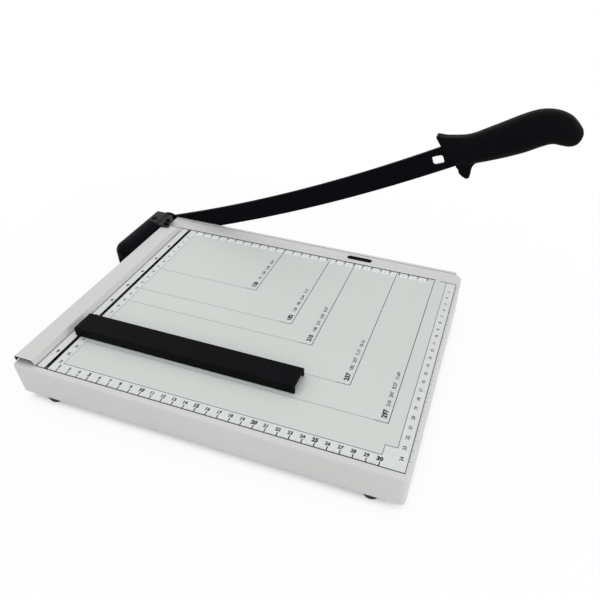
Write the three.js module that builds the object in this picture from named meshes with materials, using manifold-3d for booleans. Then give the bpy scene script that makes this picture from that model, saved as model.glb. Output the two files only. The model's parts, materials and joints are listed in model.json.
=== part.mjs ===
// A desk paper cutter: a pressed steel board with a raised fence, a long blade arm that swings beside
// its right edge, and a paper guide that slides in a slot. Sizes are millimetres.
//
// The frame: +X points out over the cutting edge, +Y away from the user towards the pivot, +Z up.
// While the pieces are laid out, X = 0 is the cutting plane, Y = 0 the foot of the fence and Z = 0 the
// table. At the end the whole group is moved so that its origin is the bottom centre of its box.
import * as THREE from "three";
import { mergeVertices } from "three/addons/utils/BufferGeometryUtils.js";
import Module from "manifold-3d";

const wasm = await Module();
wasm.setup();

// Driving dimensions

const gap = 0.3; // clearance between pieces that rest on or beside each other
const runningGap = 0.08; // clearance of the pivot bolt in its bushes
const overrun = 2; // how far a cutting tool passes beyond the piece that it cuts

const board = {
  width: 261.8, // across the cut, X
  length: 344, // along the cut, Y
  wallHeight: 32.5,
  sheet: 1.2,
  bend: 2, // outer radius of the folded edges
  bladeCorner: 9, // plan radius of the two corners beside the blade
  plainCorner: 4,
  lip: 18, // width of the lip folded inwards under the walls
  lipCorner: 1, // the lips are folded in with mitred corners
};

const foot = { height: 7.5, topRadius: 8, bottomRadius: 7, sideInset: 9.5, endInset: 27 };

const stiffener = { width: 22, rim: 9, height: 12, sheet: 1, endInset: 12 };

const fence = {
  depth: 20.5,
  height: 5.5,
  slopeWidth: 2.6,
  sheet: 1,
  crease: 1,
  endInset: 5.5,
  fromCut: 29.2, // where its face ends; only a tab goes on, under the ear of the bearing block
};

const lowerBlade = { thickness: 2.4, height: 20, headEnd: 12, userEnd: 9, ease: 0.4, screwInset: 18 };

const bladeScrew = { shank: 4, head: 7.4, headDepth: 1.7, length: 12, drop: 9, nutWidth: 7, nutDepth: 3.2 };

const insert = { length: 28, width: 6.6, depth: 4, dish: 0.6, rim: 1.1, fromCut: 11.4, fromFence: 212.5 };

const slot = { width: 2.8, fromFence: 10, fromCut: 22, fromLeft: 7.5 };

const guide = {
  length: 211,
  width: 23,
  height: 8.6,
  wall: 2.2,
  roof: 2.4,
  edge: 1.4, // radius along the top edges
  block: 12, // solid stretch at the fence end, which holds the pins
  fromFence: 7,
  fromCut: 204.5, // centre of the guide, in the pose shown
};

const pin = { radius: 1.1, headRadius: 2.4, headDepth: 1.4, grip: 5, spacing: 12 };

const guidePlate = { length: 26, width: 11, thickness: 1.6 };

const leaf = { thickness: 0.5, bow: 1.4, width: 8 };

const pivotDrop = 12; // the arm turns about an axis this far below the board's top

const casting = {
  width: 22,
  crown: 12, // height of its rounded top above the board
  flat: 10.3, // height of the flat along the top of the block
  floorGap: 9,
  block: 35, // length of the bearing block
  crownStart: 11.5, // from the cutting plane; nearer to the arm there is only a low boss
  tail: 59, // length of the housing behind the block
  bore: 8,
};

// Ear of the bearing block, which is screwed down on the fence. It is wider at the end far from the arm.
const ear = {
  thickness: 2.4,
  reach: 11.2,
  narrowReach: 2.3,
  end: 35, // from the cutting plane
  lap: 0.5, // how far it stands over the edge of the fence's tab
  screws: [
    [31, 6],
    [24, 4.1],
  ], // from the cutting plane and from the wall
  notch: { width: 7, height: 1.5, depth: 2, reach: 8 },
};

const footScrew = { shank: 3.5, head: 7.5, headDepth: 2.2, recess: 3.4, thread: 5 };

const earScrew = { shank: 3, head: 6, headDepth: 2, thread: 4 };

const wallScrew = { shank: 4, head: 8, headDepth: 2.6, thread: 7, height: 7 };

const setScrew = { shank: 4, head: 6.4, headDepth: 3, thread: 4, inset: 8 };

const bolt = { shank: 8, headWidth: 13, headDepth: 5.3, washer: 16, washerDepth: 1.5 };

const bushLength = 14;

const spring = { wire: 1.8, radius: 5.6, turns: 5, length: 17 };

const nut = { width: 13, depth: 7 };

const plug = { depth: 3, inset: 5 };

const arm = {
  thickness: 3,
  width: 21.6,
  eye: 14, // radius round the pivot
  bow: 1900, // radius of the arm's centre line
  lowest: 95, // where the centre line comes closest to the table, from the pivot
  sag: 3.6, // how far below the pivot it is there
  reach: 355, // from the pivot to the end of the full blade, inside the handle
  bevel: 4.5, // height of the ground cutting bevel
  edge: 0.5, // thickness left at the cutting edge
  lockHole: { fromReach: 16.1, length: 10.8, height: 8.2, corner: 2.2 },
};

const tang = { width: 13, endShare: 0.758 }; // how far along the grip it ends

const grip = {
  overlap: 4, // how far it covers the blade
  length: 113.4,
  base: 0.9, // lowest line of the grip, above the pivot when the arm is closed
  height: 36.4,
  thickness: 22,
};

const guard = {
  overlap: 12.5, // how far it covers the blade
  length: 30,
  thickness: 10.5,
  top: 35.6,
  bottom: -10.6,
  edge: 3,
};

const handleScrew = { shank: 3.5, head: 7, headDepth: 2.4, tip: 7 };

// Shares

// Grip outline from the side: how far along its length, then its bottom and top as shares of its height.
const gripShares = [
  [0, 0.09, 0.79],
  [0.1, 0.05, 0.79],
  [0.21, 0.04, 0.78],
  [0.32, 0.04, 0.83],
  [0.44, 0.05, 0.89],
  [0.58, 0.08, 0.965],
  [0.7, 0.14, 1],
  [0.78, 0.15, 0.97],
  [0.845, 0.06, 0.9],
  [0.895, 0, 0.81],
  [0.945, 0.01, 0.67],
  [0.98, 0.1, 0.48],
  [1, 0.21, 0.33],
];
// How thick the grip is at the same places, as shares of its greatest thickness.
const gripThicknessShares = [0.72, 0.82, 0.9, 0.96, 1, 1, 0.98, 0.96, 0.93, 0.86, 0.72, 0.5, 0.2];
// The guard with its two horns: along its length, and from its bottom to its top.
const guardShares = [
  [0, 0.99],
  [0.08, 0.79],
  [0.39, 0.25],
  [0.54, 0.07],
  [0.63, 0],
  [0.72, 0.01],
  [0.82, 0.17],
  [0.91, 0.25],
  [1, 0.29],
  [1, 0.87],
  [0.63, 0.88],
  [0.3, 0.93],
  [0.05, 1],
];
// Where the handle's screws sit along the grip, and the lower blade's screws along the blade.
const handleScrewShares = [0.19, 0.6];
const bladeScrewShares = [0, 0.33, 0.67, 1];
const stiffenerShares = [0.36, 0.68]; // places of the stiffeners along the board
const wallScrewShares = { block: [0.47, 0.86], tail: [0.25, 0.7] };

// Angles

const restAngle = THREE.MathUtils.degToRad(21); // how far the arm stands open in the pose shown

// Fineness of round shapes

const sides = { large: 48, round: 24, small: 12, spring: 8 };
const cornerSteps = 4; // an arc of an outline has twice as many straight pieces

// Places worked out from the sizes above

const tableTop = foot.height; // underside of the pressed base
const boardTop = foot.height + board.wallHeight;
const boardUnder = boardTop - board.sheet;
const bladeFace = -lowerBlade.thickness - gap; // outer face of the base beside the blade
const leftFace = bladeFace - board.width;
const headFace = fence.depth; // outer face of the wall at the pivot end
const userFace = headFace - board.length;
const castingInner = headFace + gap;
const castingRadius = casting.width / 2;
const pivotY = castingInner + castingRadius;
const pivotZ = boardTop - pivotDrop;
const armFace = gap; // inner face of the arm, which shears past the lower blade
const boltRadius = bolt.shank / 2;

// Solids

function solid(geometry) {
  const plain = geometry.clone();
  plain.deleteAttribute("normal");
  plain.deleteAttribute("uv");
  const merged = mergeVertices(plain, 1e-4);
  const vertProperties = Float32Array.from(merged.attributes.position.array);
  const triVerts = Uint32Array.from(merged.index.array);
  return new wasm.Manifold(new wasm.Mesh({ numProp: 3, vertProperties, triVerts }));
}

function geometryOf(body) {
  const mesh = body.getMesh();
  const geometry = new THREE.BufferGeometry();
  geometry.setAttribute("position", new THREE.BufferAttribute(mesh.vertProperties, 3));
  geometry.setIndex(new THREE.BufferAttribute(mesh.triVerts, 1));
  geometry.computeVertexNormals();
  return geometry;
}

function drawnOut(shape, depth, options = {}) {
  const steps = { curveSegments: cornerSteps, bevelEnabled: false };
  return new THREE.ExtrudeGeometry(shape, { depth, ...steps, ...options });
}

// A plan outline in X and Y, raised from z0 to z1.
function standing(shape, z0, z1, options = {}) {
  const bevel = options.bevelThickness ?? 0;
  const depth = z1 - z0 - 2 * bevel;
  const geometry = drawnOut(shape, depth, options);
  return geometry.translate(0, 0, z0 + bevel);
}

// A section in Y and Z, drawn out from x0 to x1.
function acrossX(shape, x0, x1) {
  const geometry = drawnOut(shape, x1 - x0);
  const turn = new THREE.Matrix4().makeBasis(
    new THREE.Vector3(0, 1, 0),
    new THREE.Vector3(0, 0, 1),
    new THREE.Vector3(1, 0, 0),
  );
  return geometry.applyMatrix4(turn).translate(x0, 0, 0);
}

// A section in X and Z, drawn out from y1 towards the user to y0.
function alongY(shape, y0, y1) {
  const geometry = drawnOut(shape, y1 - y0);
  const turn = new THREE.Matrix4().makeBasis(
    new THREE.Vector3(1, 0, 0),
    new THREE.Vector3(0, 0, 1),
    new THREE.Vector3(0, -1, 0),
  );
  return geometry.applyMatrix4(turn).translate(0, y1, 0);
}

// A side view of the arm, drawn as distance from the pivot and height, made thick from x0 to x1.
function armSlab(shape, x0, x1, options = {}) {
  const bevel = options.bevelThickness ?? 0;
  const depth = x1 - x0 - 2 * bevel;
  const geometry = drawnOut(shape, depth, options);
  const turn = new THREE.Matrix4().makeBasis(
    new THREE.Vector3(0, -1, 0),
    new THREE.Vector3(0, 0, 1),
    new THREE.Vector3(-1, 0, 0),
  );
  return geometry.applyMatrix4(turn).translate(x1 - bevel, 0, 0);
}

// A round bar between two points.
function rod(radius, start, end, count = sides.round) {
  const path = new THREE.Vector3().subVectors(end, start);
  const geometry = new THREE.CylinderGeometry(radius, radius, path.length(), count);
  const turn = new THREE.Quaternion().setFromUnitVectors(new THREE.Vector3(0, 1, 0), path.normalize());
  geometry.applyQuaternion(turn);
  const middle = new THREE.Vector3().addVectors(start, end).multiplyScalar(0.5);
  return geometry.translate(middle.x, middle.y, middle.z);
}

function at(x, y, z) {
  return new THREE.Vector3(x, y, z);
}

function box(x0, x1, y0, y1, z0, z1) {
  const geometry = new THREE.BoxGeometry(x1 - x0, y1 - y0, z1 - z0);
  return geometry.translate((x0 + x1) / 2, (y0 + y1) / 2, (z0 + z1) / 2);
}

// A profile of [radius, height] pairs, turned about the Z axis.
function turned(profile, count = sides.round) {
  const points = profile.map(([radius, height]) => new THREE.Vector2(radius, height));
  return new THREE.LatheGeometry(points, count).rotateX(Math.PI / 2);
}

function rectangle(x0, x1, y0, y1) {
  return new THREE.Shape([
    new THREE.Vector2(x0, y0),
    new THREE.Vector2(x1, y0),
    new THREE.Vector2(x1, y1),
    new THREE.Vector2(x0, y1),
  ]);
}

// A rectangle whose corners have radii of their own, right corners first.
function roundedRectangle(x0, x1, y0, y1, right, left = right) {
  const shape = new THREE.Shape();
  shape.moveTo(x0 + left, y0);
  shape.lineTo(x1 - right, y0);
  shape.absarc(x1 - right, y0 + right, right, -Math.PI / 2, 0);
  shape.lineTo(x1, y1 - right);
  shape.absarc(x1 - right, y1 - right, right, 0, Math.PI / 2);
  shape.lineTo(x0 + left, y1);
  shape.absarc(x0 + left, y1 - left, left, Math.PI / 2, Math.PI);
  shape.lineTo(x0, y0 + left);
  shape.absarc(x0 + left, y0 + left, left, Math.PI, 1.5 * Math.PI);
  return shape;
}

function oblong(x, y, width, length) {
  const r = width / 2;
  return roundedRectangle(x - r, x + r, y - length / 2, y + length / 2, r);
}

// A six-sided bar of a given width across its flats.
function hexagon(width, depth) {
  const corners = 6;
  const radius = width / 2 / Math.cos(Math.PI / corners);
  return new THREE.CylinderGeometry(radius, radius, depth, corners);
}

// A screw that points down -Z from the underside of its head.
function panScrew(size, length) {
  const r = size.shank / 2;
  const head = size.head / 2;
  return turned(
    [
      [0, -length],
      [r, -length + r / 2],
      [r, 0],
      [head, 0],
      [head, size.headDepth / 2],
      [head * 0.7, size.headDepth],
      [0, size.headDepth],
    ],
    sides.small,
  );
}

// A flush screw that points down -Z from the flat top of its head.
function flushScrew(size, length) {
  const r = size.shank / 2;
  return turned(
    [
      [0, -length],
      [r, -length + r / 2],
      [r, -size.headDepth],
      [size.head / 2, 0],
      [0, 0],
    ],
    sides.small,
  );
}

// Finishes

function finish(color, roughness, metalness) {
  return new THREE.MeshStandardMaterial({ color, roughness, metalness });
}

const finishes = {
  boardPaint: finish(0xdcddd8, 0.45, 0.1),
  blackPlastic: finish(0x121316, 0.5, 0),
  blackPaint: finish(0x15161a, 0.42, 0.4),
  castSteel: finish(0x4b504c, 0.5, 0.8),
  bladeSteel: finish(0xb4b7b8, 0.3, 0.9),
  zinc: finish(0xa9adab, 0.35, 0.9),
  bronze: finish(0x9c7a45, 0.45, 0.8),
  rubber: finish(0x1c1c1c, 0.9, 0),
};

const group = new THREE.Group();

function place(name, shape, material, holder = group) {
  const geometry = shape.isBufferGeometry ? shape : geometryOf(shape);
  const mesh = new THREE.Mesh(geometry, material);
  mesh.name = name;
  holder.add(mesh);
  return mesh;
}

// Points a screw made along -Z in a new direction and puts the underside of its head at a place.
function drive(mesh, position, direction) {
  mesh.position.copy(position);
  mesh.quaternion.setFromUnitVectors(at(0, 0, -1), direction);
  return mesh;
}

// Pressed base: a shallow box with folded edges, open underneath inside a narrow lip.
function baseOutline(inset) {
  return roundedRectangle(
    leftFace + inset,
    bladeFace - inset,
    userFace + inset,
    headFace - inset,
    board.bladeCorner - inset,
    board.plainCorner - inset,
  );
}

function baseBlock(inset, bend) {
  return solid(
    standing(baseOutline(inset), tableTop + inset, boardTop - inset, {
      bevelEnabled: true,
      bevelThickness: bend,
      bevelSize: bend,
      bevelOffset: -bend,
      bevelSegments: 2,
    }),
  );
}

const footPlaces = [
  [leftFace + foot.sideInset, userFace + foot.endInset],
  [leftFace + foot.sideInset, headFace - foot.endInset],
  [bladeFace - foot.sideInset, userFace + foot.endInset],
  [bladeFace - foot.sideInset, headFace - foot.endInset],
];

const bladeHead = headFace - lowerBlade.headEnd;
const bladeUser = userFace + lowerBlade.userEnd;
const bladeScrewZ = boardTop - bladeScrew.drop;
const bladeScrewPlaces = bladeScrewShares.map((share) =>
  THREE.MathUtils.lerp(bladeHead - lowerBlade.screwInset, bladeUser + lowerBlade.screwInset, share),
);

const blockStart = -gap; // face of the bearing block beside the arm
const blockEnd = blockStart - casting.block;
const tailStart = blockEnd - gap;
const tailEnd = tailStart - casting.tail;
const wallScrewZ = tableTop + wallScrew.height;
const wallScrewPlaces = [
  ...wallScrewShares.block.map((share) => THREE.MathUtils.lerp(blockStart, blockEnd, share)),
  ...wallScrewShares.tail.map((share) => THREE.MathUtils.lerp(tailStart, tailEnd, share)),
];

const earScrewPlaces = ear.screws.map(([fromCut, fromWall]) => [-fromCut, headFace - fromWall]);

function baseShell() {
  const opening = roundedRectangle(
    leftFace + board.lip,
    bladeFace - board.lip,
    userFace + board.lip,
    headFace - board.lip,
    board.lipCorner,
  );
  const slotOutline = roundedRectangle(
    leftFace + slot.fromLeft,
    -slot.fromCut,
    -slot.fromFence - slot.width / 2,
    -slot.fromFence + slot.width / 2,
    slot.width / 2,
  );
  const insertHole = oblong(-insert.fromCut, -insert.fromFence, insert.width, insert.length);
  let shell = baseBlock(0, board.bend)
    .subtract(baseBlock(board.sheet, board.bend - board.sheet))
    .subtract(solid(standing(opening, tableTop - overrun, tableTop + board.sheet + overrun)))
    .subtract(solid(standing(slotOutline, boardUnder - overrun, boardTop + overrun)))
    .subtract(solid(standing(insertHole, boardUnder - overrun, boardTop + overrun)));
  for (const [x, y] of footPlaces) {
    const low = at(x, y, tableTop - overrun);
    const high = at(x, y, tableTop + board.sheet + overrun);
    shell = shell.subtract(solid(rod(footScrew.shank / 2 + gap, low, high, sides.small)));
  }
  for (const y of bladeScrewPlaces) {
    const inner = at(bladeFace - board.sheet - overrun, y, bladeScrewZ);
    const outer = at(bladeFace + overrun, y, bladeScrewZ);
    shell = shell.subtract(solid(rod(bladeScrew.shank / 2 + gap, inner, outer, sides.small)));
  }
  for (const x of wallScrewPlaces) {
    const inner = at(x, headFace - board.sheet - overrun, wallScrewZ);
    const outer = at(x, headFace + overrun, wallScrewZ);
    shell = shell.subtract(solid(rod(wallScrew.shank / 2 + gap, inner, outer, sides.small)));
  }
  for (const [x, y] of earScrewPlaces) {
    shell = shell.subtract(earScrewHole(x, y, boardUnder, boardTop));
  }
  return shell;
}

place("base_shell", baseShell(), finishes.boardPaint);

// Stiffeners: hat sections spot-welded under the board, from wall to wall.
function stiffenerShape(middle) {
  const top = boardUnder - gap;
  const bottom = top - stiffener.height;
  const half = stiffener.width / 2;
  const t = stiffener.sheet;
  return new THREE.Shape([
    new THREE.Vector2(middle - half - stiffener.rim, top),
    new THREE.Vector2(middle - half - stiffener.rim, top - t),
    new THREE.Vector2(middle - half, top - t),
    new THREE.Vector2(middle - half, bottom),
    new THREE.Vector2(middle + half, bottom),
    new THREE.Vector2(middle + half, top - t),
    new THREE.Vector2(middle + half + stiffener.rim, top - t),
    new THREE.Vector2(middle + half + stiffener.rim, top),
    new THREE.Vector2(middle + half - t, top),
    new THREE.Vector2(middle + half - t, bottom + t),
    new THREE.Vector2(middle - half + t, bottom + t),
    new THREE.Vector2(middle - half + t, top),
  ]);
}

stiffenerShares.forEach((share, i) => {
  const middle = headFace - share * board.length;
  const section = stiffenerShape(middle);
  const bar = acrossX(section, leftFace + stiffener.endInset, bladeFace - stiffener.endInset);
  place(`stiffener_${i + 1}`, bar, finishes.boardPaint);
});

// Feet, each with a screw driven up into the lip.
function footSolid() {
  const top = foot.height - gap;
  const recess = footScrew.recess;
  const hole = footScrew.shank / 2 + gap;
  const well = footScrew.head / 2 + gap;
  return turned([
    [well, 0],
    [foot.bottomRadius, 0],
    [foot.topRadius, top / 2],
    [foot.topRadius, top],
    [hole, top],
    [hole, recess],
    [well, recess],
    [well, 0],
  ]);
}

footPlaces.forEach(([x, y], i) => {
  place(`foot_${i + 1}`, footSolid(), finishes.rubber).position.set(x, y, 0);
  const seat = footScrew.recess - gap;
  const length = foot.height - seat + board.sheet + footScrew.thread;
  const screw = place(`foot_screw_${i + 1}`, panScrew(footScrew, length), finishes.zinc);
  drive(screw, at(x, y, seat), at(0, 0, 1));
});

// Fence: a folded rail along the pivot end of the board. Paper is squared against its foot.
function fenceShape() {
  const floor = boardTop + gap;
  const top = boardTop + fence.height;
  const t = fence.sheet;
  const c = fence.crease;
  return new THREE.Shape([
    new THREE.Vector2(headFace, floor),
    new THREE.Vector2(headFace, top - c),
    new THREE.Vector2(headFace - c, top),
    new THREE.Vector2(fence.slopeWidth, top),
    new THREE.Vector2(0, floor),
    new THREE.Vector2(t, floor),
    new THREE.Vector2(fence.slopeWidth + t / 2, top - t),
    new THREE.Vector2(headFace - t, top - t),
    new THREE.Vector2(headFace - t, floor),
  ]);
}

function earScrewHole(x, y, z0, z1) {
  const low = at(x, y, z0 - overrun);
  const high = at(x, y, z1 + overrun);
  return solid(rod(earScrew.shank / 2 + gap, low, high, sides.small));
}

// Front edge of the bearing block's ear, at a place along X.
function earFront(x) {
  const share = (x + ear.end) / (ear.end - casting.crownStart);
  return headFace - THREE.MathUtils.lerp(ear.reach, ear.narrowReach, share);
}

// The fence's face stops short of the cutting edge. Its last stretch is a tab that the ear holds down.
function fenceCut() {
  const start = -fence.fromCut;
  const end = -casting.crownStart;
  return new THREE.Shape([
    new THREE.Vector2(start, -overrun),
    new THREE.Vector2(start, earFront(start) + ear.lap),
    new THREE.Vector2(end, earFront(end) + ear.lap),
    new THREE.Vector2(end, -overrun),
  ]);
}

function fenceRail() {
  const tabEnd = -casting.crownStart - ear.lap;
  const cut = standing(fenceCut(), boardTop, boardTop + fence.height + overrun);
  let rail = solid(acrossX(fenceShape(), leftFace + fence.endInset, tabEnd)).subtract(solid(cut));
  for (const [x, y] of earScrewPlaces) {
    rail = rail.subtract(earScrewHole(x, y, boardTop, boardTop + fence.height));
  }
  return rail;
}

place("fence_rail", fenceRail(), finishes.boardPaint);

// Oblong plug in the strip beside the cutting edge.
function insertPlug() {
  const width = insert.width - 2 * gap;
  const length = insert.length - 2 * gap;
  const rim = 2 * insert.rim;
  const body = standing(oblong(0, 0, width, length), boardTop - insert.depth, boardTop + gap);
  const dishOutline = oblong(0, 0, width - rim, length - rim);
  const dish = standing(dishOutline, boardTop + gap - insert.dish, boardTop + overrun);
  return solid(body).subtract(solid(dish));
}

place("strip_insert", insertPlug(), finishes.blackPlastic).position.set(
  -insert.fromCut,
  -insert.fromFence,
  0,
);

// Lower blade: a hard steel strip whose top edge lies level with the board.
function lowerBladeSolid() {
  const bottom = boardTop - lowerBlade.height;
  const inner = -lowerBlade.thickness;
  const section = new THREE.Shape([
    new THREE.Vector2(inner, bottom),
    new THREE.Vector2(0, bottom),
    new THREE.Vector2(0, boardTop),
    new THREE.Vector2(inner + lowerBlade.ease, boardTop),
    new THREE.Vector2(inner, boardTop - lowerBlade.ease),
  ]);
  let blade = solid(alongY(section, bladeUser, bladeHead));
  for (const y of bladeScrewPlaces) {
    blade = blade.subtract(flushHole(y));
  }
  return blade;
}

// The hole for a flush screw in the lower blade, which runs out past its face.
function flushHole(y) {
  const r = bladeScrew.shank / 2 + gap;
  const mouth = bladeScrew.head / 2 + gap;
  const tool = turned(
    [
      [0, -bladeScrew.length],
      [r, -bladeScrew.length],
      [r, -bladeScrew.headDepth],
      [mouth, 0],
      [mouth, overrun],
      [0, overrun],
    ],
    sides.small,
  );
  tool.rotateY(Math.PI / 2).translate(0, y, bladeScrewZ);
  return solid(tool);
}

place("lower_blade", lowerBladeSolid(), finishes.bladeSteel);

bladeScrewPlaces.forEach((y, i) => {
  const screw = place(`blade_screw_${i + 1}`, flushScrew(bladeScrew, bladeScrew.length), finishes.zinc);
  drive(screw, at(-gap / 2, y, bladeScrewZ), at(-1, 0, 0));
  const nutStart = bladeFace - board.sheet - gap;
  const nutEnd = nutStart - bladeScrew.nutDepth;
  const hex = hexagon(bladeScrew.nutWidth, bladeScrew.nutDepth).rotateZ(Math.PI / 2);
  hex.translate((nutStart + nutEnd) / 2, y, bladeScrewZ);
  const bore = rod(bladeScrew.shank / 2 + gap, at(nutEnd - overrun, y, bladeScrewZ), at(0, y, bladeScrewZ));
  place(`blade_nut_${i + 1}`, solid(hex).subtract(solid(bore)), finishes.zinc);
});

// Pivot: a bearing block at the corner and a black tail behind it, bored through on the arm's axis.
const crownCentre = boardTop + casting.crown - castingRadius;

// An upright section with a full round top.
function castingSection(topCentre) {
  const floor = casting.floorGap;
  const shape = new THREE.Shape();
  shape.moveTo(castingInner, floor);
  shape.lineTo(castingInner + casting.width, floor);
  shape.lineTo(castingInner + casting.width, topCentre);
  shape.absarc(pivotY, topCentre, castingRadius, 0, Math.PI);
  return shape;
}

function wallScrewHole(x) {
  const inner = at(x, castingInner - overrun, wallScrewZ);
  const outer = at(x, castingInner + wallScrew.thread + gap, wallScrewZ);
  return solid(rod(wallScrew.shank / 2 + gap, inner, outer, sides.small));
}

function boreTool(x0, x1) {
  return solid(rod(casting.bore, at(x0, pivotY, pivotZ), at(x1, pivotY, pivotZ)));
}

const earFloor = boardTop + fence.height + gap;
const setScrewPlace = at(
  blockEnd + setScrew.inset,
  pivotY,
  boardTop + casting.flat - setScrew.headDepth,
);

function earSolid() {
  const outline = new THREE.Shape([
    new THREE.Vector2(-ear.end, pivotY),
    new THREE.Vector2(-ear.end, earFront(-ear.end)),
    new THREE.Vector2(-casting.crownStart, earFront(-casting.crownStart)),
    new THREE.Vector2(-casting.crownStart, pivotY),
  ]);
  const plate = solid(standing(outline, earFloor, earFloor + ear.thickness));
  const { width, height, depth, reach } = ear.notch;
  const radius = ((width / 2) ** 2 + height ** 2) / (2 * height);
  const y = headFace - reach;
  const z = earFloor + height - radius;
  return plate.subtract(solid(rod(radius, at(-ear.end - overrun, y, z), at(-ear.end + depth, y, z))));
}

function bearingBlock() {
  const flatTop = boardTop + casting.flat;
  const above = box(blockEnd - overrun, 0, castingInner, headFace + 2 * casting.width, flatTop, 2 * flatTop);
  let block = solid(acrossX(castingSection(crownCentre), blockEnd, -casting.crownStart))
    .subtract(solid(above))
    .add(solid(acrossX(castingSection(pivotZ), -casting.crownStart - overrun, blockStart)))
    .add(earSolid())
    .subtract(boreTool(blockEnd - overrun, blockStart + overrun));
  for (const x of wallScrewPlaces.slice(0, wallScrewShares.block.length)) {
    block = block.subtract(wallScrewHole(x));
  }
  for (const [x, y] of earScrewPlaces) {
    block = block.subtract(earScrewHole(x, y, earFloor, earFloor + ear.thickness));
  }
  const { x, y, z } = setScrewPlace;
  const well = rod(setScrew.head / 2 + gap, at(x, y, z - gap), at(x, y, z + setScrew.headDepth + overrun));
  const thread = rod(setScrew.shank / 2 + gap, at(x, y, z - setScrew.thread - gap), at(x, y, z), sides.small);
  return block.subtract(solid(well)).subtract(solid(thread));
}

place("bearing_block", bearingBlock(), finishes.castSteel);

function tailHousing() {
  const endX = tailEnd + castingRadius;
  const crown = new THREE.SphereGeometry(castingRadius, sides.round, sides.round / 2);
  crown.translate(endX, pivotY, crownCentre);
  const post = rod(castingRadius, at(endX, pivotY, casting.floorGap), at(endX, pivotY, crownCentre));
  let tail = solid(acrossX(castingSection(crownCentre), endX, tailStart))
    .add(solid(post))
    .add(solid(crown))
    .subtract(boreTool(tailEnd - overrun, tailStart + overrun));
  for (const x of wallScrewPlaces.slice(wallScrewShares.block.length)) {
    tail = tail.subtract(wallScrewHole(x));
  }
  return tail;
}

place("tail_housing", tailHousing(), finishes.blackPaint);

wallScrewPlaces.forEach((x, i) => {
  const length = board.sheet + 2 * gap + wallScrew.thread;
  const screw = place(`bracket_screw_${i + 1}`, panScrew(wallScrew, length), finishes.zinc);
  drive(screw, at(x, headFace - board.sheet - gap, wallScrewZ), at(0, 1, 0));
});

earScrewPlaces.forEach(([x, y], i) => {
  const seat = earFloor + ear.thickness + gap;
  const length = seat - boardUnder + earScrew.thread;
  const screw = place(`ear_screw_${i + 1}`, panScrew(earScrew, length), finishes.blackPaint);
  drive(screw, at(x, y, seat), at(0, 0, -1));
});

drive(
  place("set_screw", panScrew(setScrew, setScrew.thread), finishes.blackPaint),
  setScrewPlace,
  at(0, 0, -1),
);

// Bushes, spring, washer and lock nut inside the bore. The spring draws the arm against the lower blade.
function ringX(outer, inner, x0, x1) {
  const length = x1 - x0;
  const profile = [
    [inner, 0],
    [outer, 0],
    [outer, length],
    [inner, length],
    [inner, 0],
  ];
  return turned(profile).rotateY(Math.PI / 2).translate(x0, 0, 0);
}

const bushOuter = casting.bore - gap;
const bushInner = boltRadius + runningGap;
const frontBushEnd = blockStart - bushLength;
const rearBushStart = tailStart - gap;
const rearBushEnd = rearBushStart - bushLength;
const springEnd = rearBushEnd - gap - spring.length;
const springWasherEnd = springEnd - gap - bolt.washerDepth;
const nutEnd = springWasherEnd - gap - nut.depth;

place(
  "bush_front",
  ringX(bushOuter, bushInner, frontBushEnd, blockStart).translate(0, pivotY, pivotZ),
  finishes.bronze,
);
place(
  "bush_rear",
  ringX(bushOuter, bushInner, rearBushEnd, rearBushStart).translate(0, pivotY, pivotZ),
  finishes.bronze,
);

class Helix extends THREE.Curve {
  constructor(radius, turns, length) {
    super();
    this.radius = radius;
    this.turns = turns;
    this.length = length;
  }
  getPoint(t, target = new THREE.Vector3()) {
    const angle = t * this.turns * 2 * Math.PI;
    return target.set(t * this.length, this.radius * Math.cos(angle), this.radius * Math.sin(angle));
  }
}

function springCoil() {
  const wire = spring.wire / 2;
  const section = new THREE.Shape().absarc(0, 0, wire, 0, 2 * Math.PI);
  const path = new Helix(spring.radius, spring.turns, spring.length - 2 * wire);
  const steps = spring.turns * 14;
  const geometry = new THREE.ExtrudeGeometry(section, {
    steps,
    extrudePath: path,
    curveSegments: sides.spring / 2,
    bevelEnabled: false,
  });
  return geometry.translate(springEnd + wire, pivotY, pivotZ);
}

place("pressure_spring", springCoil(), finishes.zinc);

function borePlug() {
  const start = tailEnd + plug.inset;
  return rod(casting.bore - gap, at(start, pivotY, pivotZ), at(start + plug.depth, pivotY, pivotZ));
}

place("bore_plug", borePlug(), finishes.blackPlastic);

// Blade arm and all that turns with it. Inside this group X = 0 is the arm's inner face, the pivot is the
// origin, and the arm is drawn closed: level, reaching towards the user along -Y.
const swing = new THREE.Group();
swing.position.set(armFace, pivotY, pivotZ);
swing.rotation.x = -restAngle;
group.add(swing);

// Height of the arm's bowed centre line at a distance from the pivot.
function centreLine(along) {
  return (along - arm.lowest) ** 2 / (2 * arm.bow) - arm.sag;
}

// A closed surface over a row of rings that have the same number of points.
function loft(rings) {
  const count = rings[0].length;
  const positions = rings.flat().flatMap((p) => [p.x, p.y, p.z]);
  const faces = [];
  for (let i = 0; i + 1 < rings.length; i++) {
    for (let j = 0; j < count; j++) {
      const a = i * count + j;
      const b = i * count + ((j + 1) % count);
      faces.push(a, a + count, b, b, a + count, b + count);
    }
  }
  const last = (rings.length - 1) * count;
  for (let j = 1; j + 1 < count; j++) {
    faces.push(0, j, j + 1);
    faces.push(last, last + j + 1, last + j);
  }
  const geometry = new THREE.BufferGeometry();
  geometry.setAttribute("position", new THREE.Float32BufferAttribute(positions, 3));
  geometry.setIndex(faces);
  return geometry;
}

function bladeRing(along) {
  const middle = centreLine(along);
  const low = middle - arm.width / 2;
  const high = middle + arm.width / 2;
  const y = -along;
  return [
    at(0, y, low),
    at(0, y, high),
    at(arm.thickness, y, high),
    at(arm.thickness, y, low + arm.bevel),
    at(arm.edge, y, low),
  ];
}

const gripStart = arm.reach - grip.overlap;
const guardStart = arm.reach - guard.overlap;
const tangStart = arm.reach - guard.length / 2;

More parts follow.
